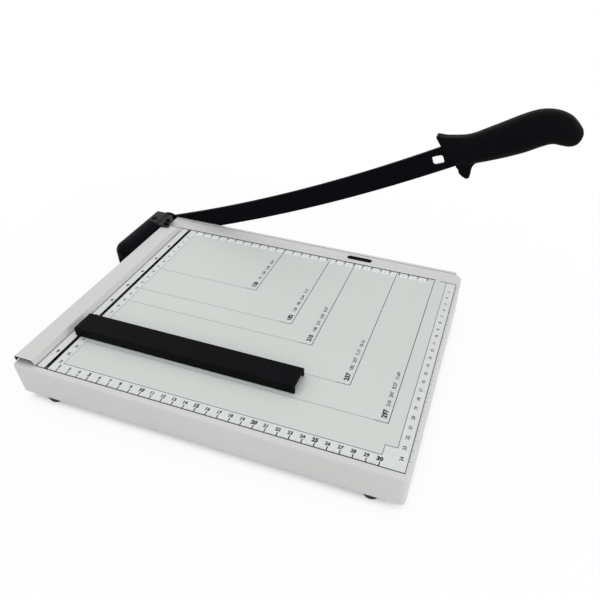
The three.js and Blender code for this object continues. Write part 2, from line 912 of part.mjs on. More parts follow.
function gripLine(share) {
  const along = gripStart + share * grip.length;
  const i = Math.min(gripShares.findIndex(([a]) => a >= share) || 1, gripShares.length - 1);
  const [a0, low0, high0] = gripShares[i - 1];
  const [a1, low1, high1] = gripShares[i];
  const blend = (share - a0) / (a1 - a0);
  const low = THREE.MathUtils.lerp(low0, low1, blend);
  const high = THREE.MathUtils.lerp(high0, high1, blend);
  return new THREE.Vector2(along, grip.base + ((low + high) / 2) * grip.height);
}

function tangShape(grow) {
  const half = tang.width / 2 + grow;
  const end = gripLine(tang.endShare);
  const start = new THREE.Vector2(tangStart, centreLine(tangStart));
  const slope = Math.atan2(end.y - start.y, end.x - start.x);
  const side = new THREE.Vector2(-Math.sin(slope), Math.cos(slope)).multiplyScalar(half);
  const tip = new THREE.Vector2(Math.cos(slope), Math.sin(slope)).multiplyScalar(grow).add(end);
  return new THREE.Shape([
    start.clone().sub(side),
    tip.clone().sub(side),
    tip.clone().add(side),
    start.clone().add(side),
  ]);
}

const handleScrewPlaces = handleScrewShares.map(gripLine);

function bladeArm() {
  const steps = 28;
  const rings = [];
  for (let i = 0; i <= steps; i++) {
    rings.push(bladeRing((i / steps) * arm.reach));
  }
  const eye = rod(arm.eye, at(0, 0, 0), at(arm.thickness, 0, 0), sides.large);
  const hole = arm.lockHole;
  const along = arm.reach - hole.fromReach;
  const middle = centreLine(along);
  const window = roundedRectangle(
    along - hole.length / 2,
    along + hole.length / 2,
    middle - hole.height / 2,
    middle + hole.height / 2,
    hole.corner,
  );
  let body = solid(loft(rings))
    .add(solid(eye))
    .add(solid(armSlab(tangShape(0), 0, arm.thickness)))
    .subtract(solid(armSlab(window, -overrun, arm.thickness + overrun)))
    .subtract(solid(rod(boltRadius + gap, at(-overrun, 0, 0), at(arm.thickness + overrun, 0, 0))));
  for (const { x, y } of handleScrewPlaces) {
    const inner = at(-overrun, -x, y);
    const outer = at(arm.thickness + overrun, -x, y);
    body = body.subtract(solid(rod(handleScrew.shank / 2 + gap, inner, outer, sides.small)));
  }
  return body;
}

place("blade_arm", bladeArm(), finishes.blackPaint, swing);

// Handle: two moulded halves round the tang, screwed together from the outside.
const handleMiddle = arm.thickness / 2;

function gripSolid() {
  const rings = gripShares.map(([share, low, high], i) => {
    const along = gripStart + share * grip.length;
    const bottom = grip.base + low * grip.height;
    const top = grip.base + high * grip.height;
    const wide = (gripThicknessShares[i] * grip.thickness) / 2;
    const ring = [];
    for (let j = 0; j < sides.round; j++) {
      const angle = (j / sides.round) * 2 * Math.PI;
      const across = Math.sign(Math.cos(angle)) * Math.abs(Math.cos(angle)) ** 0.75;
      const up = Math.sign(Math.sin(angle)) * Math.abs(Math.sin(angle)) ** 0.75;
      ring.push(at(handleMiddle - wide * across, -along, (top + bottom) / 2 + ((top - bottom) / 2) * up));
    }
    return ring;
  });
  return solid(loft(rings));
}

function guardSolid() {
  const height = guard.top - guard.bottom;
  const points = guardShares.map(
    ([along, up]) => new THREE.Vector2(guardStart + along * guard.length, guard.bottom + up * height),
  );
  const edge = guard.edge / 2;
  const half = guard.thickness / 2;
  return solid(
    armSlab(new THREE.Shape(points), handleMiddle - half, handleMiddle + half, {
      bevelEnabled: true,
      bevelThickness: edge,
      bevelSize: edge / 2,
      bevelOffset: -edge / 2,
      bevelSegments: 2,
    }),
  );
}

function handleSolid() {
  return gripSolid().add(guardSolid());
}

// The half nearest the board is cut back where the closed handle passes the end of the base.
function handleHalf(inner) {
  const far = grip.thickness;
  const x0 = inner ? -far : handleMiddle + gap / 2;
  const x1 = inner ? handleMiddle - gap / 2 : arm.thickness + far;
  const half = box(x0, x1, -gripStart - grip.length - overrun, 0, -far * 2, grip.height * 2);
  let piece = handleSolid()
    .intersect(solid(half))
    .subtract(solid(armSlab(tangShape(gap), -gap, arm.thickness + gap)))
    .subtract(bladeClearance());
  if (inner) {
    const baseEnd = pivotY - userFace + gap;
    const above = pivotDrop + 2 * gap;
    piece = piece.subtract(solid(box(-far, arm.thickness + far, -baseEnd, 0, -far * 2, above)));
  }
  for (const place of handleScrewPlaces) {
    piece = piece.subtract(handleScrewHole(place));
  }
  return piece;
}

// Room for the arm where it enters the guard.
function bladeClearance() {
  const half = arm.width / 2 + gap;
  const low = centreLine(guardStart) - half;
  const high = centreLine(arm.reach) + half;
  const outline = rectangle(guardStart - overrun, arm.reach + gap, low, high);
  return solid(armSlab(outline, -gap, arm.thickness + gap));
}

const handleSeat = handleMiddle + grip.thickness / 4; // underside of the screw heads

function handleScrewHole({ x, y }) {
  const tip = handleMiddle - handleScrew.tip - gap;
  const shank = rod(handleScrew.shank / 2 + gap, at(tip, -x, y), at(handleSeat, -x, y), sides.small);
  const wide = handleScrew.head / 2 + gap;
  const well = rod(wide, at(handleSeat - gap, -x, y), at(grip.thickness, -x, y), sides.small);
  return solid(shank).add(solid(well));
}

place("handle_inner", handleHalf(true), finishes.blackPlastic, swing);
place("handle_outer", handleHalf(false), finishes.blackPlastic, swing);

handleScrewPlaces.forEach(({ x, y }, i) => {
  const length = handleSeat - handleMiddle + handleScrew.tip;
  const screw = place(`handle_screw_${i + 1}`, panScrew(handleScrew, length), finishes.blackPaint, swing);
  drive(screw, at(handleSeat, -x, y), at(-1, 0, 0));
});

// Pivot bolt with its washers and nut, which turn with the arm.
const washerStart = arm.thickness + gap;
const headStart = washerStart + bolt.washerDepth + gap;

function pivotBolt() {
  const head = hexagon(bolt.headWidth, bolt.headDepth).rotateZ(Math.PI / 2);
  head.translate(headStart + bolt.headDepth / 2, 0, 0);
  const tip = nutEnd - armFace - gap;
  return solid(head).add(solid(rod(boltRadius, at(tip, 0, 0), at(headStart + gap, 0, 0))));
}

place("pivot_bolt", pivotBolt(), finishes.zinc, swing);
place(
  "arm_washer",
  ringX(bolt.washer / 2, bushInner, washerStart, washerStart + bolt.washerDepth),
  finishes.zinc,
  swing,
);
place(
  "spring_washer",
  ringX(casting.bore - 2 * gap, bushInner, springWasherEnd, springWasherEnd + bolt.washerDepth).translate(
    -armFace,
    0,
    0,
  ),
  finishes.zinc,
  swing,
);

function lockNut() {
  const middle = nutEnd + nut.depth / 2 - armFace;
  const hex = hexagon(nut.width, nut.depth).rotateZ(Math.PI / 2).translate(middle, 0, 0);
  const reach = nut.depth / 2 + overrun;
  return solid(hex).subtract(solid(rod(bushInner, at(middle - reach, 0, 0), at(middle + reach, 0, 0))));
}

place("lock_nut", lockNut(), finishes.zinc, swing);

// Paper guide: a black channel that lies across the board, square to the fence. Two headed pins hold it
// in the slot, with a plate and a bowed leaf spring under the board.
const slider = new THREE.Group();
slider.position.set(-guide.fromCut, 0, 0);
group.add(slider);

function guideSection() {
  const half = guide.width / 2;
  const floor = boardTop + gap;
  const top = boardTop + gap + guide.height;
  const e = guide.edge;
  const shape = new THREE.Shape();
  shape.moveTo(-half, floor);
  shape.lineTo(half, floor);
  shape.lineTo(half, top - e);
  shape.absarc(half - e, top - e, e, 0, Math.PI / 2);
  shape.lineTo(-half + e, top);
  shape.absarc(-half + e, top - e, e, Math.PI / 2, Math.PI);
  return shape;
}

function pinHole(x, z0, z1) {
  const y = -slot.fromFence;
  return solid(rod(pin.radius + gap, at(x, y, z0), at(x, y, z1), sides.small));
}

const pinPlaces = [-pin.spacing / 2, pin.spacing / 2];
const pinTop = boardTop + gap + pin.grip;

function guideBar() {
  const start = -guide.fromFence;
  const end = start - guide.length;
  const half = guide.width / 2 - guide.wall;
  const ceiling = boardTop + gap + guide.height - guide.roof;
  const hollow = box(-half, half, end - overrun, start - guide.block, boardTop - overrun, ceiling);
  let bar = solid(alongY(guideSection(), end, start)).subtract(solid(hollow));
  for (const x of pinPlaces) {
    bar = bar.subtract(pinHole(x, boardTop - overrun, pinTop + gap));
  }
  return bar;
}

place("guide_bar", guideBar(), finishes.blackPlastic, slider);

const leafTop = boardUnder - gap;
const leafBottom = leafTop - leaf.bow - leaf.thickness;
const plateTop = leafBottom - gap;
const plateBottom = plateTop - guidePlate.thickness;
const pinHeadTop = plateBottom - gap;

// The leaf touches the plate at its two ends and the board in its middle.
function guideLeaf() {
  const half = guidePlate.length / 2 - leaf.thickness;
  const radius = (half ** 2 + leaf.bow ** 2) / (2 * leaf.bow);
  const spread = Math.asin(half / radius);
  const centre = leafTop - leaf.thickness - radius;
  const arc = new THREE.Shape();
  arc.absarc(0, centre, radius, Math.PI / 2 - spread, Math.PI / 2 + spread, false);
  arc.absarc(0, centre, radius + leaf.thickness, Math.PI / 2 + spread, Math.PI / 2 - spread, true);
  const middle = -slot.fromFence;
  let strip = solid(alongY(arc, middle - leaf.width / 2, middle + leaf.width / 2));
  for (const x of pinPlaces) {
    strip = strip.subtract(pinHole(x, plateTop - overrun, boardTop));
  }
  return strip;
}

place("guide_leaf", guideLeaf(), finishes.zinc, slider);

function guidePlateSolid() {
  const half = guidePlate.length / 2;
  const y = -slot.fromFence;
  const side = guidePlate.width / 2;
  const outline = roundedRectangle(-half, half, y - side, y + side, guidePlate.thickness);
  let plate = solid(standing(outline, plateBottom, plateTop));
  for (const x of pinPlaces) {
    plate = plate.subtract(pinHole(x, plateBottom - overrun, plateTop + overrun));
  }
  return plate;
}

place("guide_plate", guidePlateSolid(), finishes.zinc, slider);

pinPlaces.forEach((x, i) => {
  const profile = [
    [0, pinHeadTop - pin.headDepth],
    [pin.headRadius, pinHeadTop - pin.headDepth],
    [pin.headRadius, pinHeadTop],
    [pin.radius, pinHeadTop],
    [pin.radius, pinTop],
    [0, pinTop],
  ];
  const rivet = place(`guide_pin_${i + 1}`, turned(profile, sides.small), finishes.zinc, slider);
  rivet.position.set(x, -slot.fromFence, 0);
});

// The origin goes to the bottom centre of the whole cutter's box.
group.updateMatrixWorld(true);
const extent = new THREE.Box3().setFromObject(group, true);
const centre = extent.getCenter(new THREE.Vector3());
group.position.set(-centre.x, -centre.y, -extent.min.z);

export default group;
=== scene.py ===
# %% [markdown]
# # A desk paper cutter, dressed for its portrait
# The metal frame of this cutter was built in a CAD program. This notebook loads it, gives every
# piece its real finish, and remakes the pieces whose round or moulded shapes need more detail. The printed
# measuring grid is made here too. Everything is in metres, with the origin on the table under the middle
# of the cutter, +Z up, +Y away from the person who cuts, and +X out over the cutting edge.

# %% Load the frame
import json
import math

import bmesh
import bpy
from mathutils import Matrix, Vector

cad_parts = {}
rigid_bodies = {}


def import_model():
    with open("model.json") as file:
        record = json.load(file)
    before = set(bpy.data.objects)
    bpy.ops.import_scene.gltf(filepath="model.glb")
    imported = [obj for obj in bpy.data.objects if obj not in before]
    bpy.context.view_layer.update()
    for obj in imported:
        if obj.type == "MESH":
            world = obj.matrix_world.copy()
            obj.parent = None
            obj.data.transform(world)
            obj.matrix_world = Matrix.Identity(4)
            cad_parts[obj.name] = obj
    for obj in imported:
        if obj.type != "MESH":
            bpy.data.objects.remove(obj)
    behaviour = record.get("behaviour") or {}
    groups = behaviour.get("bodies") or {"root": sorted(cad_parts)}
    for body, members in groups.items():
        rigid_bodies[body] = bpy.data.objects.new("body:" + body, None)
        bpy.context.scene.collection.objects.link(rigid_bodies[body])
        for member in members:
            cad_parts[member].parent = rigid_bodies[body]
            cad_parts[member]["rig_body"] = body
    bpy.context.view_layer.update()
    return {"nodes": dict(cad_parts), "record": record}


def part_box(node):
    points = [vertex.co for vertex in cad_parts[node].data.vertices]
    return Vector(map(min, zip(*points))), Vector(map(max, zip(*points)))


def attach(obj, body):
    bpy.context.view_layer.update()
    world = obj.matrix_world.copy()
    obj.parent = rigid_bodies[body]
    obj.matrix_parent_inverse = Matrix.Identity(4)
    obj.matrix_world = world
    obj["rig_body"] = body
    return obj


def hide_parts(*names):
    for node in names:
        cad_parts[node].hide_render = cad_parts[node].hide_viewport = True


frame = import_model()
nodes = frame["nodes"]
scene = bpy.context.scene
MM = 0.001
print(len(nodes), "pieces in the frame")

# %% [markdown]
# ## The camera first
# The camera's place was solved from the rulers printed on the board, whose centimetres are known. Making
# it first means that every later choice, such as how fine a curve needs to be, is judged from the right
# spot. The lens is a little wide and slightly off centre, so a small shift is used in place of a turn.

# %% Camera
lens = bpy.data.cameras.new("camera")
lens.lens, lens.sensor_width = 32.875, 36
lens.shift_x, lens.shift_y = -0.06138, 0.00134
camera = bpy.data.objects.new("camera", lens)
camera.location = (-0.365629, -0.162200, 0.377539)
camera.rotation_euler = [math.radians(a) for a in (51.3312, -1.1490, -71.6333)]
scene.collection.objects.link(camera)
scene.camera = camera
scene.view_settings.view_transform = "Standard"
print("the camera stands", round(camera.location.length, 3), "m from the cutter's middle")

# %% [markdown]
# ## Small tools
# These tools are used all through the lesson. `evaluated_mesh` turns an object with modifiers into a plain
# mesh. `smooth` lets curved areas shade softly and keeps real edges crisp. `set_down` puts a finished mesh
# in the scene and fastens it to the body of the frame that carries it. `piece` does so with a mesh that
# takes over from pieces of the frame. `refinish` gives some faces of a piece another finish, such as the
# ground bevel of a painted blade.

# %% Mesh tools
def link(obj):
    scene.collection.objects.link(obj)
    return obj


def evaluated_mesh(obj):
    """A plain mesh of an object with its modifiers applied. The object itself is removed."""
    bpy.context.view_layer.update()
    depsgraph = bpy.context.evaluated_depsgraph_get()
    mesh = bpy.data.meshes.new_from_object(obj.evaluated_get(depsgraph))
    bpy.data.objects.remove(obj)
    return mesh


def smooth(mesh, angle=30):
    mesh.shade_smooth()
    mesh.set_sharp_from_angle(angle=math.radians(angle))
    return mesh


def set_down(name, mesh, body, finish):
    """A mesh drawn on a body's bench, set in its place and made to move with the body."""
    mesh.name = name
    mesh.transform(BENCH[body])
    mesh.materials.clear()
    mesh.materials.append(finish)
    obj = link(bpy.data.objects.new(name, mesh))
    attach(obj, body)
    print(name, len(mesh.polygons), "faces")
    return obj


def piece(name, mesh, body, slot, stands_for):
    """A piece that takes over from nodes of the frame, in the finish of its slot."""
    obj = set_down(name, mesh, body, SLOT_FINISH[slot])
    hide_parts(*stands_for)
    return obj


def refinish(obj, finish, chosen):
    """Gives the faces that pass a test a second finish."""
    obj.data.materials.append(finish)
    faces = [face for face in obj.data.polygons if chosen(face)]
    for face in faces:
        face.material_index = 1
    print(len(faces), "faces of", obj.name, "are", finish.name)


# %% [markdown]
# ## Effects that finishes share
# Real surfaces are never perfectly even. Two small groups of shader nodes make that unevenness, and each
# finish below uses them with its own values. `grain` gives a fine bump height and a roughness that varies
# a little, as paint, castings and moulded plastic all have. `mottle` mixes two near colours in soft
# clouds, which is how enamel yellows and zinc spangles. `feed` keeps the wiring short: it gives an input a
# plain value, or a link where the value is another node's output.

# %% Node helpers
def feed(tree, node, inputs):
    for socket, value in inputs.items():
        if isinstance(value, bpy.types.NodeSocket):
            tree.links.new(value, node.inputs[socket])
        else:
            node.inputs[socket].default_value = value
    return node


def add_node(tree, kind, inputs=None, **settings):
    """Adds a node. Its settings come first, because some of them decide which inputs it has."""
    node = tree.nodes.new(kind)
    for key, value in settings.items():
        setattr(node, key, value)
    return feed(tree, node, inputs or {})


def maths(tree, operation, *values, **settings):
    """The result of a math node whose inputs are given in their order."""
    return add_node(tree, "ShaderNodeMath", dict(enumerate(values)), operation=operation, **settings).outputs[0]


def new_group(name, inputs, outputs, kind="ShaderNodeTree"):
    """A node group with named inputs and outputs. Gives the group and what its inputs carry."""
    group = bpy.data.node_groups.new(name, kind)
    for label, socket, value in inputs:
        item = group.interface.new_socket(label, in_out="INPUT", socket_type="NodeSocket" + socket)
        if value is not None:
            item.default_value = value
    for label, socket in outputs:
        group.interface.new_socket(label, in_out="OUTPUT", socket_type="NodeSocket" + socket)
    return group, group.nodes.new("NodeGroupInput").outputs


def end_group(group, results):
    feed(group, group.nodes.new("NodeGroupOutput"), results)
    return group


# %% Shader node groups
NOISE = "ShaderNodeTexNoise"


def make_grain():
    inputs = [("Vector", "Vector", None), ("Scale", "Float", 900.0), ("Detail", "Float", 3.0)]
    inputs += [("Roughness", "Float", 0.4), ("Spread", "Float", 0.08)]
    group, given = new_group("grain", inputs, [("Roughness", "Float"), ("Height", "Float")])
    place = given["Vector"]
    fine = add_node(group, NOISE, {"Vector": place, "Scale": given["Scale"], "Detail": given["Detail"]})
    broad = add_node(group, NOISE, {"Vector": place, "Scale": 35.0, "Detail": 4.0})
    vary = maths(group, "SUBTRACT", broad.outputs["Fac"], 0.5)
    rough = maths(group, "MULTIPLY_ADD", vary, given["Spread"], given["Roughness"])
    return end_group(group, {"Roughness": rough, "Height": fine.outputs["Fac"]})


def make_mottle():
    inputs = [("Vector", "Vector", None), ("Scale", "Float", 20.0), ("Contrast", "Float", 1.0)]
    inputs += [("First", "Color", (0.5, 0.5, 0.5, 1)), ("Second", "Color", (0.6, 0.6, 0.6, 1))]
    group, given = new_group("mottle", inputs, [("Color", "Color")])
    where = {"Vector": given["Vector"], "Scale": given["Scale"]}
    cloud = add_node(group, NOISE, {**where, "Detail": 5.0, "Roughness": 0.6})
    centred = maths(group, "SUBTRACT", cloud.outputs["Fac"], 0.5)
    share = maths(group, "MULTIPLY_ADD", centred, given["Contrast"], 0.5, use_clamp=True)
    colours = {"Factor": share, "A": given["First"], "B": given["Second"]}
    mix = add_node(group, "ShaderNodeMix", colours, data_type="RGBA")
    return end_group(group, {"Color": mix.outputs["Result"]})


GRAIN, MOTTLE = make_grain(), make_mottle()
print("groups:", [g.name for g in bpy.data.node_groups])

# %% [markdown]
# ## Finishes
# One function wires a finish together: Object coordinates, stretched if the metal was brushed, feed the two
# groups, and these feed a Principled shader. What is the same all over a surface, such as the metal
# value or the specular level, is set on the shader itself. The enamel is slightly warm, the blacks are low
# in gloss, and the casting is the only finish with strong clouds.

# %% One function for all plain finishes
def finish(
    name, first, second, rough, grain, bump=0.1, stretch=(1, 1, 1), cloud=18.0, contrast=1.6, metallic=0, specular=0.5
):
    material = bpy.data.materials.new(name)
    material.use_nodes = True
    tree = material.node_tree
    place = add_node(tree, "ShaderNodeTexCoord").outputs["Object"]
    place = add_node(tree, "ShaderNodeMapping", {"Vector": place, "Scale": stretch}).outputs["Vector"]
    mottle = {"Vector": place, "Scale": cloud, "Contrast": contrast, "First": (*first, 1), "Second": (*second, 1)}
    colours = add_node(tree, "ShaderNodeGroup", mottle, node_tree=MOTTLE)
    fine = {"Vector": place, "Scale": grain, "Roughness": rough}
    surface = add_node(tree, "ShaderNodeGroup", fine, node_tree=GRAIN).outputs
    relief = {"Strength": bump, "Distance": 0.0002, "Height": surface["Height"]}
    shader = {
        "Base Color": colours.outputs["Color"],
        "Roughness": surface["Roughness"],
        "Normal": add_node(tree, "ShaderNodeBump", relief).outputs["Normal"],
        "Metallic": metallic,
        "Specular IOR Level": specular,
    }
    feed(tree, tree.nodes["Principled BSDF"], shader)
    return material


ENAMEL = finish("enamel", (0.606, 0.613, 0.588), (0.641, 0.646, 0.626), 0.46, 1100, bump=0.05, specular=0.3)
BLACK_PLASTIC = finish(
    "black_plastic", (0.0020, 0.0022, 0.0028), (0.0036, 0.0040, 0.0048), 0.46, 2600, bump=0.12, specular=0.035
)
BLACK_PAINT = finish(
    "black_paint", (0.0015, 0.0017, 0.0030), (0.0026, 0.0029, 0.0048), 0.40, 1500, bump=0.08, specular=0.04
)
CAST = finish(
    "cast", (0.005, 0.006, 0.0056), (0.025, 0.030, 0.027), 0.5, 900, 0.35, cloud=210.0, contrast=3.4, specular=0.16
)
BRUSHED_ALONG_Y = (1, 0.02, 1)
GROUND_STEEL = finish(
    "ground_steel", (0.56, 0.57, 0.565), (0.66, 0.67, 0.665), 0.36, 1400, 0.12, BRUSHED_ALONG_Y, metallic=0.55
)
ZINC = finish("zinc", (0.48, 0.50, 0.49), (0.62, 0.62, 0.58), 0.34, 700, metallic=1.0, cloud=160.0)
BRONZE = finish("bronze", (0.36, 0.22, 0.09), (0.46, 0.29, 0.13), 0.4, 1600, metallic=1.0, cloud=120.0)
RUBBER = finish("rubber", (0.010, 0.010, 0.010), (0.018, 0.018, 0.018), 0.8, 1900, bump=0.2)
SLOT_FINISH = {
    "board_paint": ENAMEL,
    "black_plastic": BLACK_PLASTIC,
    "black_paint": BLACK_PAINT,
    "cast_steel": CAST,
    "blade_steel": GROUND_STEEL,
    "zinc": ZINC,
    "bronze": BRONZE,
    "rubber": RUBBER,
}
print("finishes:", [made.name for made in SLOT_FINISH.values()])

# %% Dress the frame's own pieces
for row in frame["record"]["subparts"]:
    node = nodes[row["node"]]
    node.data.materials.clear()
    node.data.materials.append(SLOT_FINISH[row["material_slot"]])
print("dressed", len(nodes), "pieces")

# %% [markdown]
# ## A bench in millimetres
# All pieces take their place from the frame, but they are easier to describe in millimetres, measured from
# the cutting plane, the foot of the fence and the table. Each body of the cutter has its own bench: the arm
# is drawn closed, with its pivot at the origin, and the guide is drawn round its own middle. `piece` moves
# a finished mesh from its bench to its place in the scene.

# %% Benches and named sizes
CUT_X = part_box("lower_blade")[1].x
FENCE_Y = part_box("fence_rail")[0].y
PIVOT = (0.3, 31.8, 28.0)
OPEN_ANGLE = math.radians(21)
GUIDE_MIDDLE = -204.5
BASE_BENCH = Matrix.Translation((CUT_X, FENCE_Y, 0)) @ Matrix.Scale(MM, 4)
BENCH = {
    "base": BASE_BENCH,
    "arm": BASE_BENCH @ Matrix.Translation(PIVOT) @ Matrix.Rotation(-OPEN_ANGLE, 4, "X"),
    "guide": BASE_BENCH @ Matrix.Translation((GUIDE_MIDDLE, 0, 0)),
}
# The board's top, its two long sides, its end towards the user and its end behind the fence.
TOP = 40.0
LEFT, RIGHT, USER, HEAD = -264.5, -2.7, -323.5, 20.5


def copy_of(node):
    """The frame's own mesh of a piece, brought to its bench, as a copy that may be changed."""
    mesh = nodes[node].data.copy()
    mesh.transform(BENCH[nodes[node]["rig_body"]].inverted())
    return mesh


print("the arm turns about", PIVOT, "and the board is", HEAD - USER, "mm long")

# %% [markdown]
# ## Shapes made from a few numbers
# The pieces are turned, drawn out or lofted, as a maker would describe them. `lathe` turns a profile
# about the Z axis, `drawn_out` gives a flat outline a thickness, and `skin` lays faces over a row of
# rings. Each helper gives a closed mesh with faces that point outwards.

# %% Shape helpers
def mesh_from(bm):
    bmesh.ops.remove_doubles(bm, verts=bm.verts, dist=1e-4)
    bmesh.ops.recalc_face_normals(bm, faces=bm.faces)
    mesh = bpy.data.meshes.new("mesh")
    bm.to_mesh(mesh)
    bm.free()
    return mesh


def skin(rings):
    """Faces over rings of points that have the same count, with flat ends."""
    bm = bmesh.new()
    rows = [[bm.verts.new(p) for p in ring] for ring in rings]
    for a, b in zip(rows, rows[1:]):
        for i in range(len(a)):
            j = (i + 1) % len(a)
            bm.faces.new((a[i], a[j], b[j], b[i]))
    bm.faces.new(rows[0])
    bm.faces.new(rows[-1])
    return mesh_from(bm)


def lathe(profile, steps=48):
    """Turns [radius, height] pairs about the Z axis. A profile that leaves the axis free makes a ring."""
    bm = bmesh.new()
    verts = [bm.verts.new((r, 0, z)) for r, z in profile]
    edges = [bm.edges.new(pair) for pair in zip(verts, verts[1:])]
    if profile[0][0] > 0:
        edges.append(bm.edges.new((verts[-1], verts[0])))
    bmesh.ops.spin(bm, geom=verts + edges, axis=(0, 0, 1), angle=2 * math.pi, steps=steps, use_merge=True)
    return mesh_from(bm)


def drawn_out(outline, low, high, place=None):
    """A flat outline of (x, y) pairs between two heights, then moved by a matrix."""
    bm = bmesh.new()
    face = bm.faces.new([bm.verts.new((x, y, low)) for x, y in outline])
    top = bmesh.ops.extrude_face_region(bm, geom=[face])["geom"]
    verts = [g for g in top if isinstance(g, bmesh.types.BMVert)]
    bmesh.ops.translate(bm, vec=(0, 0, high - low), verts=verts)
    mesh = mesh_from(bm)
    if place is not None:
        mesh.transform(place)
    return mesh


# An outline in (y, z) drawn out along X, one in (x, z) drawn out along Y, and a side view of the arm, whose
# first number is the distance from the pivot.
ALONG_X = Matrix(((0, 0, 1, 0), (1, 0, 0, 0), (0, 1, 0, 0), (0, 0, 0, 1)))
ALONG_Y = Matrix(((1, 0, 0, 0), (0, 0, 1, 0), (0, 1, 0, 0), (0, 0, 0, 1)))
SIDE_VIEW = Matrix(((0, 0, 1, 0), (-1, 0, 0, 0), (0, 1, 0, 0), (0, 0, 0, 1)))
Z_TO_X = Matrix.Rotation(math.pi / 2, 4, "Y")


# %% Outlines
def fillet(points, radius, steps=6):
    """An outline with its corners rounded by one radius, or by a list with a radius for each corner."""
    radii = radius if isinstance(radius, (list, tuple)) else [radius] * len(points)
    rounded = []
    for i, r in enumerate(radii):
        here = Vector(points[i])
        before = (Vector(points[i - 1]) - here).normalized()
        after = (Vector(points[(i + 1) % len(points)]) - here).normalized()
        half = before.angle(after) / 2
        if r <= 0 or half > math.radians(89):
            rounded.append(tuple(here))
            continue
        centre = here + (before + after).normalized() * (r / math.sin(half))
        start = here + before * (r / math.tan(half)) - centre
        end = here + after * (r / math.tan(half)) - centre
        for k in range(steps + 1):
            spoke = start.slerp(end, k / steps).normalized() * r
            rounded.append(tuple(centre + spoke))
    return rounded


def rectangle(x0, x1, y0, y1):
    return [(x0, y0), (x1, y0), (x1, y1), (x0, y1)]


def oblong(x, y, width, length, steps=10):
    """A rectangle whose short ends are half circles."""
    sides = rectangle(x - width / 2, x + width / 2, y - length / 2, y + length / 2)
    return fillet(sides, width / 2 - 0.001, steps)


def quarter_turn(steps):
    """Angles from 0 to 90 degrees."""
    return [k / steps * math.pi / 2 for k in range(steps + 1)]


# %% Solids, cuts and soft edges
def rebuilt(mesh, matrix):
    """A moved or mirrored mesh, with its faces turned outwards again."""
    bm = bmesh.new()
    bm.from_mesh(mesh)
    bm.transform(matrix)
    return mesh_from(bm)


def rod(start, end, radius, steps=48):
    start, end = Vector(start), Vector(end)
    length = (end - start).length
    mesh = lathe([(0, 0), (radius, 0), (radius, length), (0, length)], steps)
    mesh.transform(Matrix.Translation(start) @ (end - start).to_track_quat("Z", "Y").to_matrix().to_4x4())
    return mesh


def upright_rod(x, y, low, high, radius, steps=24):
    return rod((x, y, low), (x, y, high), radius, steps)


def block(x0, x1, y0, y1, z0, z1):
    return drawn_out(rectangle(x0, x1, y0, y1), z0, z1)


def combined(base, tools, operation="DIFFERENCE"):
    """A mesh with other meshes cut from it, added to it, or kept in common with it."""
    obj = link(bpy.data.objects.new("work", base))
    helpers = []
    for tool in tools:
        helper = link(bpy.data.objects.new("tool", tool))
        helpers.append(helper)
        cut = obj.modifiers.new("cut", "BOOLEAN")
        cut.operation, cut.solver, cut.object = operation, "EXACT", helper
    mesh = evaluated_mesh(obj)
    for helper in helpers:
        bpy.data.objects.remove(helper)
    return mesh


def softened(mesh, width, segments=3, angle=32, merge=2e-3, clamp=True):
    """A mesh whose real edges are rounded a little, as every cast, pressed or moulded edge is.

    One very short edge holds back the bevel of all the others, so points nearer than `merge` become one.
    """
    bm = bmesh.new()
    bm.from_mesh(mesh)
    bmesh.ops.remove_doubles(bm, verts=bm.verts, dist=merge)
    bmesh.ops.dissolve_limit(bm, angle_limit=math.radians(0.5), verts=bm.verts, edges=bm.edges)
    bm.to_mesh(mesh)
    bm.free()
    obj = link(bpy.data.objects.new("work", mesh))
    bevel = obj.modifiers.new("soft edges", "BEVEL")
    bevel.width, bevel.segments = width, segments
    bevel.limit_method, bevel.angle_limit = "ANGLE", math.radians(angle)
    bevel.miter_outer = "MITER_ARC"
    bevel.harden_normals = True
    bevel.use_clamp_overlap = clamp
    return evaluated_mesh(obj)


print("a softened block has", len(softened(block(0, 1, 0, 1, 0, 1), 0.1).polygons), "faces")

# %% [markdown]
# ## Trees that grow shapes
# Geometry Nodes suit whatever repeats or follows a rule. `new_tree` starts a tree with named inputs, and
# `grown` runs it on a start mesh with values for those inputs and returns a plain mesh. Two trees are
# used often here: one sets copies of a small piece at points, each turned by its own amount, and one draws
# the marks of a ruler, where every fifth and every tenth mark is longer.

# %% Helpers for trees
def new_tree(name, inputs):
    rows = [("Geometry", "Geometry", None)] + inputs + [("Finish", "Material", None)]
    return new_group(name, rows, [("Geometry", "Geometry")], "GeometryNodeTree")


def end_tree(tree, given, last):
    """Ends a tree with real geometry and one finish."""
    real = add_node(tree, "GeometryNodeRealizeInstances", {0: last.outputs[0]})
    dressed = {"Geometry": real.outputs[0], "Material": given["Finish"]}
    return end_group(tree, {0: add_node(tree, "GeometryNodeSetMaterial", dressed).outputs[0]})


def grown(tree, start=None, **values):
    """The mesh that a tree makes from a start mesh. A keyword is an input's name in small letters."""
    obj = link(bpy.data.objects.new("work", start or bpy.data.meshes.new("start")))
    growth = obj.modifiers.new("tree", "NODES")
    growth.node_group = tree
    for item in tree.interface.items_tree:
        key = item.name.lower().replace(" ", "_")
        if item.item_type == "SOCKET" and item.in_out == "INPUT" and key in values:
            growth[item.identifier] = values[key]
    return evaluated_mesh(obj)


def combine(tree, **axes):
    return add_node(tree, "ShaderNodeCombineXYZ", axes).outputs[0]


